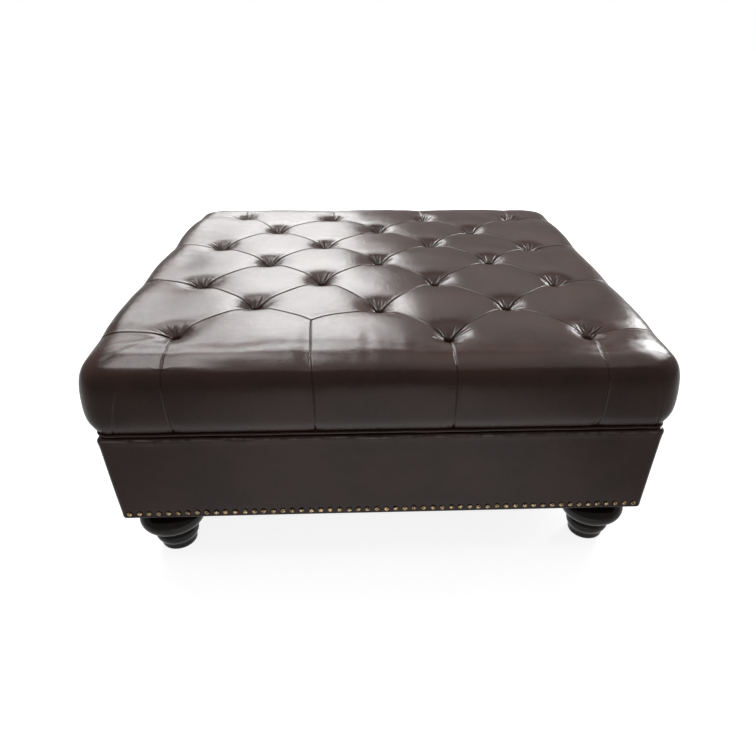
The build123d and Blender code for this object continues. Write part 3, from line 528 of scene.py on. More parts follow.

# Nailheads: pressed brass domes, antiqued dark in the hollows, with painted shade at the rim,
# driven by hand through the leather in a row along the bottom of each side, none quite straight.
antique_brass, patina, spot = new_finish("antique_brass")
rim_shade = patina.node("ShaderNodeAttribute", out=2, attribute_name="rim")
stains = noise(spot, 330.0, 4.0)
nicks = noise(spot, 900.0, 3.0)
# Painted shade: the brass goes dark and less metallic towards each dome's rim.
bright_part = stains.between(0.36, 0.66) * (1 - rim_shade.between(0.02, 0.5))
shade = patina.mix(bright_part, (0.070, 0.042, 0.022, 1), (0.68, 0.49, 0.29, 1))
shade = patina.mix(nicks.between(0.60, 0.70) * 0.5, shade, (0.045, 0.028, 0.015, 1))
metal = 0.95 - 0.3 * rim_shade
surface(shade, 0.40 - 0.16 * bright_part, (stains + nicks, 0.5, 0.0004), Metallic=metal)
head_radius, head_height, most_tilt, most_dent = 0.00525, 0.0028, 7, 0.025
for side, side_name in enumerate(("front", "right", "back", "left")):
    nails = bmesh.new()
    rim_shade_on = nails.verts.layers.float.new("rim")
    for number in range(nail_count):
        made = bmesh.ops.create_uvsphere(nails, u_segments=12, v_segments=6, radius=1.0)["verts"]
        below = [v for v in made if v.co.z < -0.01]
        bmesh.ops.delete(nails, geom=below, context="VERTS")
        dome = [v for v in made if v.is_valid]
        open_edges = [e for e in nails.edges if e.is_boundary]
        bmesh.ops.contextual_create(nails, geom=open_edges)
        for vertex in dome:
            # Weight of the painted rim shade: 1 at the dome's rim, fading to none at its top.
            vertex[rim_shade_on] = (1 - vertex.co.z) ** 3
            vertex.co *= 1 + chance.uniform(-most_dent, most_dent)
            if vertex.co.z < 0.1:
                vertex.co.z = -0.18
        drift = nail_drift[side, number]
        along = number * nail_gap - nail_reach + drift[0]
        nod, sway = (math.radians(chance.uniform(-most_tilt, most_tilt)) for _ in range(2))
        tilt = Matrix.Rotation(nod, 4, "X") @ Matrix.Rotation(sway, 4, "Y")
        seat = (along, -base_half + 0.0004, nail_rise + drift[1])
        upright = Matrix.Rotation(math.radians(90), 4, "X")
        size = Matrix.Diagonal((head_radius, head_radius, head_height, 1))
        turned = Matrix.Rotation(side * math.pi / 2, 4, "Z")
        bmesh.ops.transform(
            nails,
            matrix=turned @ Matrix.Translation(seat) @ upright @ tilt @ size,
            verts=dome,
        )
    nailheads = new_piece(f"nailheads_{side_name}", nails, antique_brass, "base")
    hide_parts(f"nails_{side_name}")

# Bun feet, turned from hardwood: collar, neck, a large ring with a crisp lower lip, a waist, a
# small ring and a toe, stained near black and sprayed with gloss lacquer.
espresso, stain, spot = new_finish("espresso_lacquered_wood")
upright = stain.node("ShaderNodeMapping", {"Vector": spot, "Scale": (1, 1, 0.12)})
grain = noise(upright, 190.0, 4.0)
cloud = noise(spot, 30.0, 3.0)
dust = noise(spot, 1400.0, 1.0)
shade = stain.mix(grain.between(0.40, 0.68), (0.0075, 0.0052, 0.0045, 1), (0.016, 0.0095, 0.007, 1))
shade = stain.mix(cloud.between(0.4, 0.7) * 0.4, shade, (0.022, 0.012, 0.0085, 1))
gloss = 0.17 + 0.06 * cloud + dust.between(0.70, 0.76) * 0.25
surface(shade, gloss, (grain + cloud, 0.10, 0.0006), **{"Specular IOR Level": 0.25})


def smoothed(line, rounds):
    """The line with its corners cut off a quarter of the way along, this many times over."""
    for _ in range(rounds):
        cut = [line[0]]
        for a, b in zip(line, line[1:]):
            cut.append(tuple(0.75 * p + 0.25 * q for p, q in zip(a, b)))
            cut.append(tuple(0.25 * p + 0.75 * q for p, q in zip(a, b)))
        line = cut + [line[-1]]
    return line


# Radius and distance below the top of the foot, in millimetres.
foot_section = [
    (0, 0), (30, 0), (48, 0), (48, 4), (47.6, 7.6), (44, 10.5), (41.6, 14), (41, 17), (42, 20.5),
    (46, 23.5), (52, 26.5), (57.5, 30), (61.6, 35), (64.2, 40.5), (65, 46), (64.4, 51.5),
    (62.2, 57), (58.6, 61.2), (54.6, 63.8), (53.4, 64.6), (53.2, 66), (52, 67.2), (49, 68.2),
    (43, 69.2), (38.4, 70.4), (36.4, 72), (36.6, 74.4), (39, 78), (42, 83), (43.6, 88),
    (43.8, 92), (42.8, 97), (40.6, 101.6), (38.0, 104.6), (36.4, 106.2), (35.9, 107.4),
    (36.0, 108.8), (36.4, 114), (36.0, 119.0), (34.4, 120.6), (20, 120.7), (0, 120.7),
]
for end_name in ("front", "back"):
    for side_name in ("left", "right"):
        low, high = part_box(f"foot_{end_name}_{side_name}")
        turned = bmesh.new()
        line = [
            turned.verts.new((r / 1000, 0, -drop / 1000)) for r, drop in smoothed(foot_section, 2)
        ]
        edges = [turned.edges.new(pair) for pair in zip(line, line[1:])]
        bmesh.ops.spin(
            turned, geom=line + edges, cent=(0, 0, 0), axis=(0, 0, 1), angle=2 * math.pi,
            steps=80, use_merge=True,
        )
        bmesh.ops.remove_doubles(turned, verts=turned.verts, dist=0.00001)
        bmesh.ops.recalc_face_normals(turned, faces=turned.faces)
        bmesh.ops.translate(
            turned, vec=((low.x + high.x) / 2, (low.y + high.y) / 2, high.z), verts=turned.verts
        )
        foot = new_piece(f"bun_foot_{end_name}_{side_name}", turned, espresso, "base")
        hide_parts(f"foot_{end_name}_{side_name}")

# Glides nailed under the feet and bumpers pressed into the rim: moulded black nylon and soft
# black rubber.
def moulded(name, dark, pale, rough, mottle):
    plastic, skin, spot = new_finish(name)
    spark = noise(spot, mottle, 4.0)
    shade = skin.mix(spark.between(0.4, 0.7), dark, pale)
    surface(shade, rough + 0.15 * spark, (spark, 0.3, 0.0002))
    return plastic


nylon = moulded("black_nylon", (0.020, 0.020, 0.021, 1), (0.042, 0.041, 0.040, 1), 0.38, 700.0)
rubber = moulded(
    "soft_black_rubber", (0.014, 0.014, 0.014, 1), (0.030, 0.029, 0.028, 1), 0.62, 420.0
)
finish_nodes(nylon, "foot_glides")
finish_nodes(rubber, "rim_bumpers")

# Core of the lid: a plywood board, and on it a block of upholstery foam with a well for each
# tuft. Waxed twine goes from each button down through both and is knotted under the board.
finish_nodes(plywood, "lid_board")
waxed_twine, strands, spot = new_finish("waxed_tufting_twine")
split = strands.node("ShaderNodeSeparateXYZ", {"Vector": spot})
across, rise = (split.also(k) for k in (1, 2))
turns = strands.sum("SINE", (split + across) * 900 + rise * 2600)
fuzz = noise(spot, 900.0, 3.0)
shade = strands.mix(turns.between(-0.8, 0.6), (0.30, 0.22, 0.13, 1), (0.60, 0.49, 0.33, 1))
surface(shade, 0.50 + 0.2 * fuzz, (turns + fuzz, 0.5, 0.0003))
finish_nodes(waxed_twine, "tufting_twines")

foam_finish, cells, spot = new_finish("upholstery_foam")
bubbles = cells.node("ShaderNodeTexVoronoi", {"Vector": spot, "Scale": 900.0, "Randomness": 1.0})
coarse = cells.node("ShaderNodeTexVoronoi", {"Vector": spot, "Scale": 320.0, "Randomness": 1.0})
yellowing = noise(spot, 6.0, 3.0)
shade = cells.mix(yellowing.between(0.35, 0.7), (0.80, 0.75, 0.58, 1), (0.74, 0.64, 0.40, 1))
shade = cells.mix(bubbles.between(0.5, 0.2) * 0.35, shade, (0.45, 0.38, 0.24, 1))
surface(shade, 0.92 - 0.06 * bubbles, (bubbles + coarse, 0.6, 0.0008))

pitch = base_half / 4
tufts = {
    (i, j): Vector((i * pitch, j * pitch))
    for i in range(-3, 4)
    for j in range(-3, 4)
    if i % 2 == j % 2
}
foam_low, foam_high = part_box("foam_block")
foam_half, foam_edge, edge_steps, side_steps = foam_high.x, 0.015, 6, 7
well_depth, well_reach, well_slope = 0.030, 0.036, 0.0028
block = grid(120, foam_half - foam_edge)
rim_edges = [e for e in block.edges if e.is_boundary]
for step in range(1, edge_steps + side_steps + 1):
    rim_edges, bent = pulled_out(block, rim_edges)
    angle = min(step, edge_steps) / edge_steps * math.pi / 2
    before = min(step - 1, edge_steps) / edge_steps * math.pi / 2
    out = foam_half - foam_edge + foam_edge * math.sin(angle)
    out_before = foam_half - foam_edge + foam_edge * math.sin(before)
    drop = foam_edge * (math.cos(before) - math.cos(angle))
    if step > edge_steps:
        drop = (foam_high.z - foam_low.z - foam_edge) / side_steps
    size = Matrix.Diagonal((out / out_before, out / out_before, 1, 1))
    bmesh.ops.transform(block, matrix=Matrix.Translation((0, 0, -drop)) @ size, verts=bent)
bmesh.ops.contextual_create(block, geom=rim_edges)
bmesh.ops.translate(block, vec=(0, 0, foam_high.z), verts=block.verts)
for vertex in block.verts:
    if vertex.co.z > foam_high.z - 0.02:
        apart = min((Vector(vertex.co[:2]) - middle).length for middle in tufts.values())
        vertex.co.z -= well_depth / (1 + math.exp((apart - well_reach) / well_slope))
bmesh.ops.recalc_face_normals(block, faces=block.faces)
foam_core = new_piece("foam_core", block, foam_finish, "lid")
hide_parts("foam_block")

# Tufted lid cover: one leather panel over fibre wadding and foam, drawn down at buttons on a
# diamond lattice, folded along the lines between them, pleated straight down each side, tucked
# at the corners and stapled under the board.
lid_low, lid_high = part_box("tufted_cover")
lid_bottom, lid_height = lid_low.z, lid_high.z - lid_low.z
cell = pitch / 32
flat_cells = 119
flat_half = flat_cells * cell
loose_tuft = (-1, -3)
# Half width, share of the height and corner radius of the padding's level outlines, from the
# middle of the top down the side to under the board, as the leather is laid.
shell = [
    (0.0, 1.0, 0.0), (0.28, 1.0, 0.0), (0.3325, 1.0, 0.0), (0.417, 0.98, 0.018),
    (0.461, 0.955, 0.034), (0.486, 0.92, 0.046), (0.5035, 0.86, 0.050), (0.513, 0.78, 0.052),
    (0.5178, 0.68, 0.052), (0.5203, 0.55, 0.050), (0.5210, 0.38, 0.046), (0.5192, 0.24, 0.040),
    (0.5140, 0.14, 0.032), (0.5070, 0.055, 0.024), (0.5040, 0.020, 0.021),
    (0.5000, 0.004, 0.020), (0.4900, 0.0, 0.018), (0.4420, 0.0, 0.006), (0.4400, 0.0, 0.005),
    (0.4395, 0.012, 0.005),
]
shell = np.array(smoothed(shell, 3))
shell[:, 1] = lid_bottom + lid_height * shell[:, 1]
travel = np.concatenate([[0], np.cumsum(np.hypot(*np.diff(shell[:, :2], axis=0).T))])
skirt_length = travel[-1] - flat_half


def on_shell(u, v):
    """Where a point of the flat panel lies over the padding, its normal, and its place along
    and across the side that it hangs on."""
    ring = np.maximum(np.maximum(abs(u), abs(v)), 1e-9)
    edge = np.minimum(ring, flat_half)
    facing = abs(v) >= abs(u)
    along = np.where(facing, u, v) * edge / ring
    out = np.where(facing, np.sign(v), np.sign(u))
    half, level, radius = (np.interp(ring, travel, shell[:, k]) for k in range(3))
    ahead, lower = (np.interp(ring + 1e-4, travel, shell[:, k]) for k in range(2))
    knee = 0.85 * edge
    reach = half - radius + radius * math.pi / 4
    bent = knee + (abs(along) - knee) / (edge - knee) * (reach - knee)
    run = np.where(abs(along) <= knee, abs(along), bent)
    turn = np.maximum(run - (half - radius), 0) / np.maximum(radius, 1e-6)
    side = np.where(turn > 0, half - radius + radius * np.sin(turn), run) * np.sign(along)
    front = np.where(turn > 0, half - radius + radius * np.cos(turn), half) * out
    x, y = np.where(facing, side, front), np.where(facing, front, side)
    lean = np.arctan2(-(lower - level), ahead - half)
    nx, ny = np.sin(turn) * np.sign(along), np.cos(turn) * out
    nx, ny = np.where(facing, nx, ny), np.where(facing, ny, nx)
    normal = np.stack([nx * np.sin(lean), ny * np.sin(lean), np.cos(lean)], 1)
    run = run * np.sign(along)
    across = ring * out
    flap = np.stack([np.where(facing, run, across), np.where(facing, across, run)], 1)
    return np.stack([x, y, level], 1), normal, flap


folds = []
for (i, j), knot in tufts.items():
    for di in (1, -1):
        if (i + di, j + 1) in tufts:
            folds.append((knot, tufts[i + di, j + 1], "fold", di))
skirt_end = flat_half + skirt_length
for k in (-3, -1, 1, 3):
    for side in (-1, 1):
        for start, way in (
            (Vector((k * pitch, side * 3 * pitch)), Vector((0, side))),
            (Vector((side * 3 * pitch, k * pitch)), Vector((side, 0))),
        ):
            folds.append((start, start + way * (skirt_end - 3 * pitch), "pleat", k))
tuck_top, tuck_low = 0.520, 0.640
for side, top, low in ((1, 0.463, 0.489), (-1, 0.448, 0.483)):
    for end in (-1, 1):
        start, stop = Vector((side * top, end * tuck_top)), Vector((side * low, end * tuck_low))
        folds.append((start, stop, "tuck", -side * end))
chance = np.random.default_rng(7)
# Degrees from the fold beside it, and length, of the gathers at each side of a tuft's folds.
gather_kinds = ((13, 25, 0.030, 0.050), (32, 43, 0.018, 0.036))
for key, knot in tufts.items():
    for turn in range(4):
        for side in (-1, 1):
            for least, most, short, long in gather_kinds:
                angle = math.radians(45 + 90 * turn + side * chance.uniform(least, most))
                run = chance.uniform(short, long)
                tip = knot + run * Vector((math.cos(angle), math.sin(angle)))
                strength = chance.uniform(0.35, 1.15)
                if key != loose_tuft:
                    folds.append((knot, tip, "gather", strength))
starts = np.array([a for a, _, _, _ in folds])
ends = np.array([b for _, b, _, _ in folds])
kinds = np.array([kind for _, _, kind, _ in folds])
sides = np.array([side for _, _, _, side in folds])


def to_folds(flap, wanted):
    """Each point's distance to every fold of these kinds, how far along the fold the nearest
    place is, and on which side of it the point lies."""
    a, run = starts[wanted], ends[wanted] - starts[wanted]
    length = np.hypot(run[:, 0], run[:, 1])
    way = run / length[:, None]
    dx = flap[:, None, 0] - a[None, :, 0]
    dy = flap[:, None, 1] - a[None, :, 1]
    t = np.clip(dx * way[:, 0] + dy * way[:, 1], 0, length)
    off = np.hypot(dx - t * way[:, 0], dy - t * way[:, 1])
    return off, t, length, dx * way[:, 1] - dy * way[:, 0]


def to_nearest(flap, wanted, rounding=0.002, parts=24):
    """Each point's distance to the folds of these kinds, rounded where two meet, how far along
    its nearest fold it lies, on which side, and which fold that is. The points are taken in
    parts, to spare the memory."""
    found = []
    for part in np.array_split(flap, parts):
        off, t, _, beside = to_folds(part, wanted)
        rows, nearest = np.arange(len(part)), off.argmin(1)
        together = np.exp(-off / rounding).sum(1) + 1e-30
        closest = np.maximum(-rounding * np.log(together), 0)
        closest = np.minimum(closest, off[rows, nearest])
        found.append((closest, t[rows, nearest], beside[rows, nearest], nearest))
    return [np.concatenate(column) for column in zip(*found)]


panel = grid(2 * flat_cells, flat_half)
rim_edges = [e for e in panel.edges if e.is_boundary]
rings = 52
for step in range(rings):
    rim_edges, moved = pulled_out(panel, rim_edges)
    before = flat_half + skirt_length * step / rings
    growth = Vector((1, 1, 1)) * (before + skirt_length / rings) / before
    bmesh.ops.scale(panel, vec=growth, verts=moved)
for reach_of_fold, reach_of_tuft in ((0.012, 0.045), (0.0055, 0.036)):
    points = np.array([f.calc_center_median() for f in panel.faces])
    _, _, flap = on_shell(points[:, 0], points[:, 1])
    near = to_nearest(flap, kinds != "gather")[0] < reach_of_fold
    for place in tufts.values():
        near |= np.hypot(flap[:, 0] - place.x, flap[:, 1] - place.y) < reach_of_tuft
    split_faces(panel, near)
cover_mesh = mesh_of(panel, "lid_cover")

plan = np.zeros(len(cover_mesh.vertices) * 3)
cover_mesh.vertices.foreach_get("co", plan)
plan = plan.reshape(-1, 3)
_, _, flap = on_shell(plan[:, 0], plan[:, 1])

# The lattice was marked out by hand: each tuft and pleat stands a little off its place, and
# the one that has come loose sits well behind the others of its row.
moved_to = {
    (-3, -3): (5, 5), (-1, -3): (-7, 44), (1, -3): (-10, -17), (3, -3): (-6, -12),
    (-2, -2): (2, 4), (0, -2): (-7, -14), (2, -2): (-4, -6), (-3, -1): (1, -10),
    (-1, -1): (-1, 7), (1, -1): (-10, 3), (3, -1): (1, -8), (-2, 0): (-2, 0), (0, 0): (-2, 3),
    (2, 0): (7, 8), (-3, 1): (-8, -6), (-1, 1): (-5, -1), (1, 1): (5, 10), (3, 1): (0, -14),
    (-2, 2): (-12, 7), (0, 2): (3, 5), (2, 2): (-2, -3), (-3, 3): (10, 12), (-1, 3): (6, -5),
    (1, 3): (4, -7), (3, 3): (-1, -8),
}
anchors = [tuple(tufts[key]) for key in moved_to]
shifts = [(x / 1000, y / 1000) for x, y in moved_to.values()]
front_pleats = {-3: (13, 15), -1: (3, 3), 1: (-9, -10), 3: (-7, -2)}
for k in (-3, -1, 1, 3):
    for depth_at, number in ((0.500, 0), (0.640, 1)):
        for side in (-1, 1):
            drift = chance.uniform(-5, 5)
            anchors.append((k * pitch, side * depth_at))
            shifts.append(((front_pleats[k][number] if side < 0 else drift) / 1000, 0))
            anchors.append((side * depth_at, k * pitch))
            shifts.append((0, chance.uniform(-5, 5) / 1000))
anchors, shifts = np.array(anchors), np.array(shifts)
pull_reach, easing = 0.105, 0.02


def pull(points):
    gap = np.hypot(
        points[:, None, 0] - anchors[None, :, 0], points[:, None, 1] - anchors[None, :, 1]
    )
    return hill(gap, 0, pull_reach)


weights = np.linalg.solve(pull(anchors) + easing * np.eye(len(anchors)), shifts)
shift = pull(flap) @ weights
place, normal, _ = on_shell(plan[:, 0] + shift[:, 0], plan[:, 1] + shift[:, 1])

# The drawn-down leather is a stretched skin on soft padding: it sinks to the depth of each
# fold and tuft and swells back over a few centimetres.
tuft_depth = {key: 0.030 for key in tufts}
tuft_depth[loose_tuft] = 0.005
held_disc, pleat_fades_at, pleat_fades_over, pleat_fade = 0.0045, 0.10, 0.08, 0.6


def settle(relaxed, fold_deep, pleat_deep, tuft_share, run_out):
    """The skin's drop over the whole panel, read at each point, where the folds and tufts are
    held down and the skin between them eases back over the relaxed length."""
    skin = None
    for size, rounds in ((4 * cell, 500), (2 * cell, 300), (cell, 220), (cell / 2, 120)):
        half_count = int(round(4.75 * pitch / size))
        axis = np.arange(-half_count, half_count + 1) * size
        gx, gy = np.meshgrid(axis, axis, indexing="ij")
        finer = np.zeros_like(gx)
        if skin is not None:
            finer[::2, ::2] = skin
            finer[1::2, ::2] = 0.5 * (skin[1:, :] + skin[:-1, :])
            finer[:, 1::2] = 0.5 * (finer[:, 0:-1:2] + finer[:, 2::2])
        skin = finer
        held, depth = np.zeros(gx.shape, bool), np.zeros_like(gx)
        for a, b, kind, _ in folds:
            if kind in ("tuck", "gather"):
                continue
            count = int(round(max(abs(b.x - a.x), abs(b.y - a.y)) / size))
            s = np.linspace(0, 1, count + 1)
            m = np.round((a.x + (b.x - a.x) * s) / size).astype(int) + half_count
            n = np.round((a.y + (b.y - a.y) * s) / size).astype(int) + half_count
            s = s * (b - a).length
            inside = (m >= 0) & (m < len(axis)) & (n >= 0) & (n < len(axis))
            base = fold_deep if kind == "fold" else pleat_deep
            deep = base
            for end, away in ((a, s), (b, s[-1] - s)):
                key = (int(round(end.x / pitch)), int(round(end.y / pitch)))
                if key in tufts and (end - tufts[key]).length < 0.001:
                    drop = max(tuft_depth[key] * tuft_share - base, 0)
                    deep = deep + drop * np.exp(-away / run_out)
            if kind == "pleat":
                faded = np.clip((s - pleat_fades_at) / pleat_fades_over, 0, 1)
                deep = deep * (1 - pleat_fade * faded)
            held[m[inside], n[inside]] = True
            depth[m[inside], n[inside]] = np.minimum(depth[m[inside], n[inside]], -deep[inside])
        for key, p in tufts.items():
            disc = np.hypot(gx - p.x, gy - p.y) < (held_disc if key != loose_tuft else 0.001)
            held |= disc
            depth = np.where(disc, -tuft_depth[key] * tuft_share, depth)
        skin = np.where(held, depth, skin)
        spread = (relaxed / size) ** 2
        for _ in range(rounds):
            around = skin[2:, 1:-1] + skin[:-2, 1:-1] + skin[1:-1, 2:] + skin[1:-1, :-2]
            skin[1:-1, 1:-1] = around * spread / (1 + 4 * spread)
            skin = np.where(held, depth, skin)
    gm, gn = flap[:, 0] / size + half_count, flap[:, 1] / size + half_count
    m = np.clip(np.floor(gm).astype(int), 0, len(axis) - 2)
    n = np.clip(np.floor(gn).astype(int), 0, len(axis) - 2)
    fm, fn = np.clip(gm - m, 0, 1), np.clip(gn - n, 0, 1)
    low = skin[m, n] * (1 - fm) + skin[m + 1, n] * fm
    high = skin[m, n + 1] * (1 - fm) + skin[m + 1, n + 1] * fm
    return low * (1 - fn) + high * fn


sunk = settle(
    relaxed=0.010, fold_deep=0.0008, pleat_deep=0.0009, tuft_share=0.30, run_out=0.013
)
sunk += settle(
    relaxed=0.042, fold_deep=0.0034, pleat_deep=0.0022, tuft_share=0.40, run_out=0.030
)

# Beside each fold the padding's edge is round, and the lapped side of the pleat stands up as
# a thin lip. Round each button the spare leather gathers in small radiating creases.
tight = [knot for key, knot in tufts.items() if key != loose_tuft]
to_tuft = np.min([np.hypot(flap[:, 0] - p.x, flap[:, 1] - p.y) for p in tight], axis=0)
pit_depth, pit_reach, crater_depth, crater_reach = 0.0125, 0.0065, 0.009, 0.030
sunk -= pit_depth * np.exp(-((to_tuft / pit_reach) ** 4))
sunk -= crater_depth * hill(to_tuft, 0, crater_reach)
clear = np.clip((to_tuft - 0.003) / 0.008, 0, 1)
clear = clear * clear * (3 - 2 * clear)
close_in = hill(to_tuft, 0, 0.034)


def crease(closest, wide, deep):
    past = np.clip(1 - closest / wide, 0, 1)
    return deep * (1 - np.sqrt(1 - past**2 * 0.9995))


# Kind, and the crease's half width and depth and its lip's height.
fold_kinds = (
    ("fold", 0.0026, 0.0020, 0.0006), ("pleat", 0.0036, 0.0024, 0.0008),
    ("tuck", 0.0060, 0.0024, 0.0010),
)
lip_reach, tuck_fades_over, shade_reach, shade_reach_in_tuft = 0.0052, 0.05, 0.0007, 0.0010
crease_shade = np.zeros(len(flap))
for kind, wide, deep, lip in fold_kinds:
    wanted = kinds == kind
    closest, t, beside, nearest = to_nearest(flap, wanted)
    held_at = np.clip(t / tuck_fades_over, 0, 1) if kind == "tuck" else 1
    sunk = sunk - crease(closest, wide, deep) * (1 + 1.1 * close_in) * clear * held_at
    lapped = beside * sides[wanted][nearest] > 0
    near_tuft = 1 + 3.0 * hill(to_tuft, 0.016, 0.020)
    hump = hill(closest, 0, lip_reach) * near_tuft
    sunk = sunk + lip * hump * (0.40 + 0.60 * ~lapped) * clear * held_at
    # Painted shade: the colour is darkened along each crease, wider and darker near the tufts.
    shade_falloff = np.exp(-closest / (shade_reach + shade_reach_in_tuft * close_in))
    shade_line = shade_falloff * (0.45 + 0.55 * close_in)
    crease_shade = np.maximum(crease_shade, shade_line * held_at)
ridge_height, ridge_away, ridge_width = 0.0017, 0.0036, 0.0021
gather_width, gather_depth, gather_reach = 0.0036, 0.0022, 0.058
for knot in tight:
    near = np.nonzero(np.hypot(flap[:, 0] - knot.x, flap[:, 1] - knot.y) < gather_reach)[0]
    own = (kinds == "gather") & (np.abs(starts - np.array(knot)).max(1) < 0.001)
    off, t, length, _ = to_folds(flap[near], own)
    fading = np.clip(1 - t / length, 0, 1) ** 0.6 * sides[own]
    fading *= np.clip((to_tuft[near] - 0.003) / 0.006, 0, 1)[:, None]
    ridge = ridge_height * hill(off, ridge_away, ridge_width)
    gathers = (ridge - crease(off, gather_width, gather_depth)) * fading
    sunk[near] += np.clip(gathers, 0, None).max(1) + np.clip(gathers, None, 0).min(1)
    # Painted shade along the crease of each gather.
    shade_line = 0.5 * (np.exp(-off / 0.0008) * fading).max(1)
    crease_shade[near] = np.maximum(crease_shade[near], shade_line)

# No hide lies quite even: long low waves all over, and short ones that can hardly be seen.
ripple = np.zeros(len(flap))
for wave, height, count in ((0.26, 0.0012, 9), (0.075, 0.00022, 14)):
    for _ in range(count):
        way = chance.normal(size=3)
        way *= 2 * math.pi / wave / np.linalg.norm(way)
        ripple += height / math.sqrt(count) * np.sin(place @ way + chance.uniform(0, 6.3))
down_side = np.abs(flap).max(1)
hem_at, hem_fade = 0.60, 0.08
sunk = sunk + ripple * np.clip((hem_at - down_side) / hem_fade, 0, 1)
faces_side = np.abs(flap[:, 0]) > np.abs(flap[:, 1])
run_side = np.where(faces_side, flap[:, 1], flap[:, 0])
at_front = (flap[:, 1] < 0) & ~faces_side

# The padding of the two sides swells between the pleats, most on the left, and the front's
# shoulder is slack: two soft wrinkles and one thin ridge run along it, with puckers below the
# loose tuft.
left_swell, right_swell, corner_at, corner_fade = 0.0120, 0.0045, 0.50, 0.16
swelling = np.where(faces_side, np.where(flap[:, 0] < 0, left_swell, right_swell), 0)
swelling *= np.clip((corner_at - np.abs(run_side)) / corner_fade, 0, 1) ** 1.5
swelling *= 0.86 + 0.14 * np.cos(2 * math.pi * run_side / (2 * pitch))
sunk = sunk + swelling * hill(down_side, 0.492, 0.042)
wander = 0.0048 * np.sin(run_side * 11 + 0.6) + 0.0020 * np.sin(run_side * 37 + 2.0)
slack = 0.30 + 0.80 * hill(run_side, -0.34, 0.22)
slack += 0.35 * hill(run_side, 0.42, 0.10)
shoulder_wrinkles = (
    (0.4480, 0.0085, -0.0005), (0.4670, 0.0085, 0.0008), (0.4880, 0.0070, -0.0006),
    (0.5020, 0.0032, 0.0007),
)
for at, wide, high in shoulder_wrinkles:
    sunk = sunk + at_front * slack * high * hill(down_side + wander, at, wide)
puckers, pucker_height, pucker_count = np.zeros(len(flap)), 0.00016, 12
for _ in range(pucker_count):
    wave = chance.uniform(0.026, 0.060)
    puckers += pucker_height * np.sin(2 * math.pi * run_side / wave + chance.uniform(0, 6.3))
by_loose = hill(flap[:, 0], -0.07, 0.13) * at_front
puckers *= 0.2 + 0.6 * by_loose
sunk = sunk + puckers * hill(down_side, 0.450, 0.042)
place = place + normal * sunk[:, None]
cover_mesh.vertices.foreach_set("co", place.ravel())
# The painted crease shade is kept in the fold attribute, which darkens the leather's colour.
shade_attribute = cover_mesh.attributes.new("fold", "FLOAT", "POINT")
shade_attribute.data.foreach_set("value", crease_shade.astype(np.float32))
cover_mesh.update()
lid_cover = new_piece("lid_cover", cover_mesh, leather, "lid")
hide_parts("tufted_cover")

# Buttons: steel shells covered with the same leather, pulled down hard by their twines so that
# the cover closes over them.
button_low, button_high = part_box("tuft_buttons")
button_radius, flat_under = 0.011, 0.35
rise = (button_high.z - button_low.z) / (1 + flat_under)
covered = bmesh.new()
seats = np.array([tuple(middle) for middle in tufts.values()])
for middle in seats + pull(seats) @ weights:
    made = bmesh.ops.create_uvsphere(covered, u_segments=28, v_segments=14, radius=1.0)["verts"]
    for vertex in made:
        vertex.co.z = max(vertex.co.z, -flat_under)
    seat = Matrix.Translation((*middle, button_low.z + flat_under * rise))
    size = Matrix.Diagonal((button_radius, button_radius, rise, 1))
    bmesh.ops.transform(covered, matrix=seat @ size, verts=made)
covered_buttons = new_piece("covered_buttons", covered, leather, "lid")
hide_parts("tuft_buttons")

# Underside of the lid: the same black woven cloth, stapled to the board inside the turned-under
# edge of the leather.
under_shape, under_size = slack_cloth("lid_lining", thickness=0.0005)
underside = new_piece("underside_cloth", under_shape, lining_cloth, "lid")
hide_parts("lid_lining")

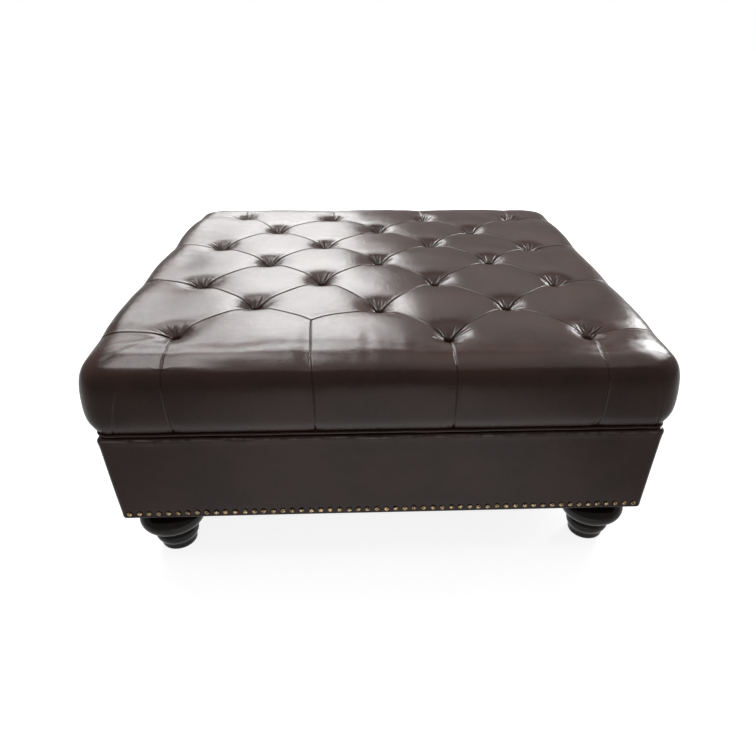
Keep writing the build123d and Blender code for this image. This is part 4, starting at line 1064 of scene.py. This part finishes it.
# Welt: a cord wrapped in a strip of the same leather and stapled round the board, a little
# wrinkled where the strip goes round the cord.
welt_low, welt_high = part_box("lid_welt")
welt_radius = (welt_high.z - welt_low.z) / 2
welt_line = welt_high.x - welt_radius
welt_corner, welt_sides = 0.0229, 12
strip = ring_shape(4 * 200, welt_sides)
flat = np.array([v.co[:2] for v in strip.verts])
share, angle = flat[:, 0] % 4, flat[:, 1] / welt_sides * 2 * math.pi
line, way = round_square(share, welt_line, welt_corner)
wrinkles = 0.03 * waves(share, 60, 190, 12)
fine_wrinkles = 0.03 * waves(share + 0.02 * np.sin(angle), 200, 330, 8)
thick = welt_radius * (0.97 + wrinkles + fine_wrinkles)
sway = 0.0004 * waves(share, 8, 60, 10)
line = line + way * (thick * np.cos(angle))[:, None]
level = (welt_low.z + welt_high.z) / 2 + sway + thick * np.sin(angle)
welt_mesh = closed_ring("leather_welt", strip, np.stack([line[:, 0], line[:, 1], level], 1))
leather_welt = new_piece("leather_welt", welt_mesh, leather, "lid")
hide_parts("lid_welt")

# Hinges: three steel butt hinges along the back, each two leaves on a pin. They are screwed to
# the box's rim and to the board, and all of it is zinc plated.
finish_nodes(zinc_steel, "hinge_lower_screws", "hinge_upper_screws")
for place_name in ("left", "middle", "right"):
    for part_name in ("lower_leaf", "upper_leaf", "pin"):
        finish_nodes(zinc_steel, f"hinge_{place_name}_{part_name}")

# Gas struts at both sides, which carry the lid when it is up: black enamelled tubes, zinc-plated
# glands, brackets and screws, and hard-chromed rods ground smooth.
enamel, gloss, spot = new_finish("black_enamel")
peel = noise(spot, 260.0, 2.0)
dirt = noise(spot, 55.0, 5.0)
shade = gloss.mix(dirt.between(0.45, 0.75), (0.012, 0.012, 0.013, 1), (0.034, 0.032, 0.030, 1))
surface(shade, 0.20 + 0.25 * dirt, (peel, 0.12, 0.0004))
chrome, ground, spot = new_finish("hard_chrome")
parts = ground.node("ShaderNodeSeparateXYZ", {"Vector": spot})
depth, rise = (parts.also(k) for k in (1, 2))
lines = ground.sum("SINE", (rise * 0.81 - depth * 0.586) * 9000)
film = noise(spot, 120.0, 4.0)
shade = ground.mix(film.between(0.4, 0.75), (0.72, 0.72, 0.73, 1), (0.58, 0.57, 0.55, 1))
surface(shade, 0.06 + 0.16 * film, (lines, 0.05, 0.0002), Metallic=1.0)
for hand in ("left", "right"):
    finish_nodes(enamel, f"strut_{hand}_tube")
    finish_nodes(chrome, f"strut_{hand}_rod")
    fittings = [f"strut_{hand}_{part}" for part in ("gland", "base_bracket", "lid_bracket")]
    finish_nodes(zinc_steel, *fittings)
finish_nodes(zinc_steel, "strut_base_screws", "strut_lid_screws")
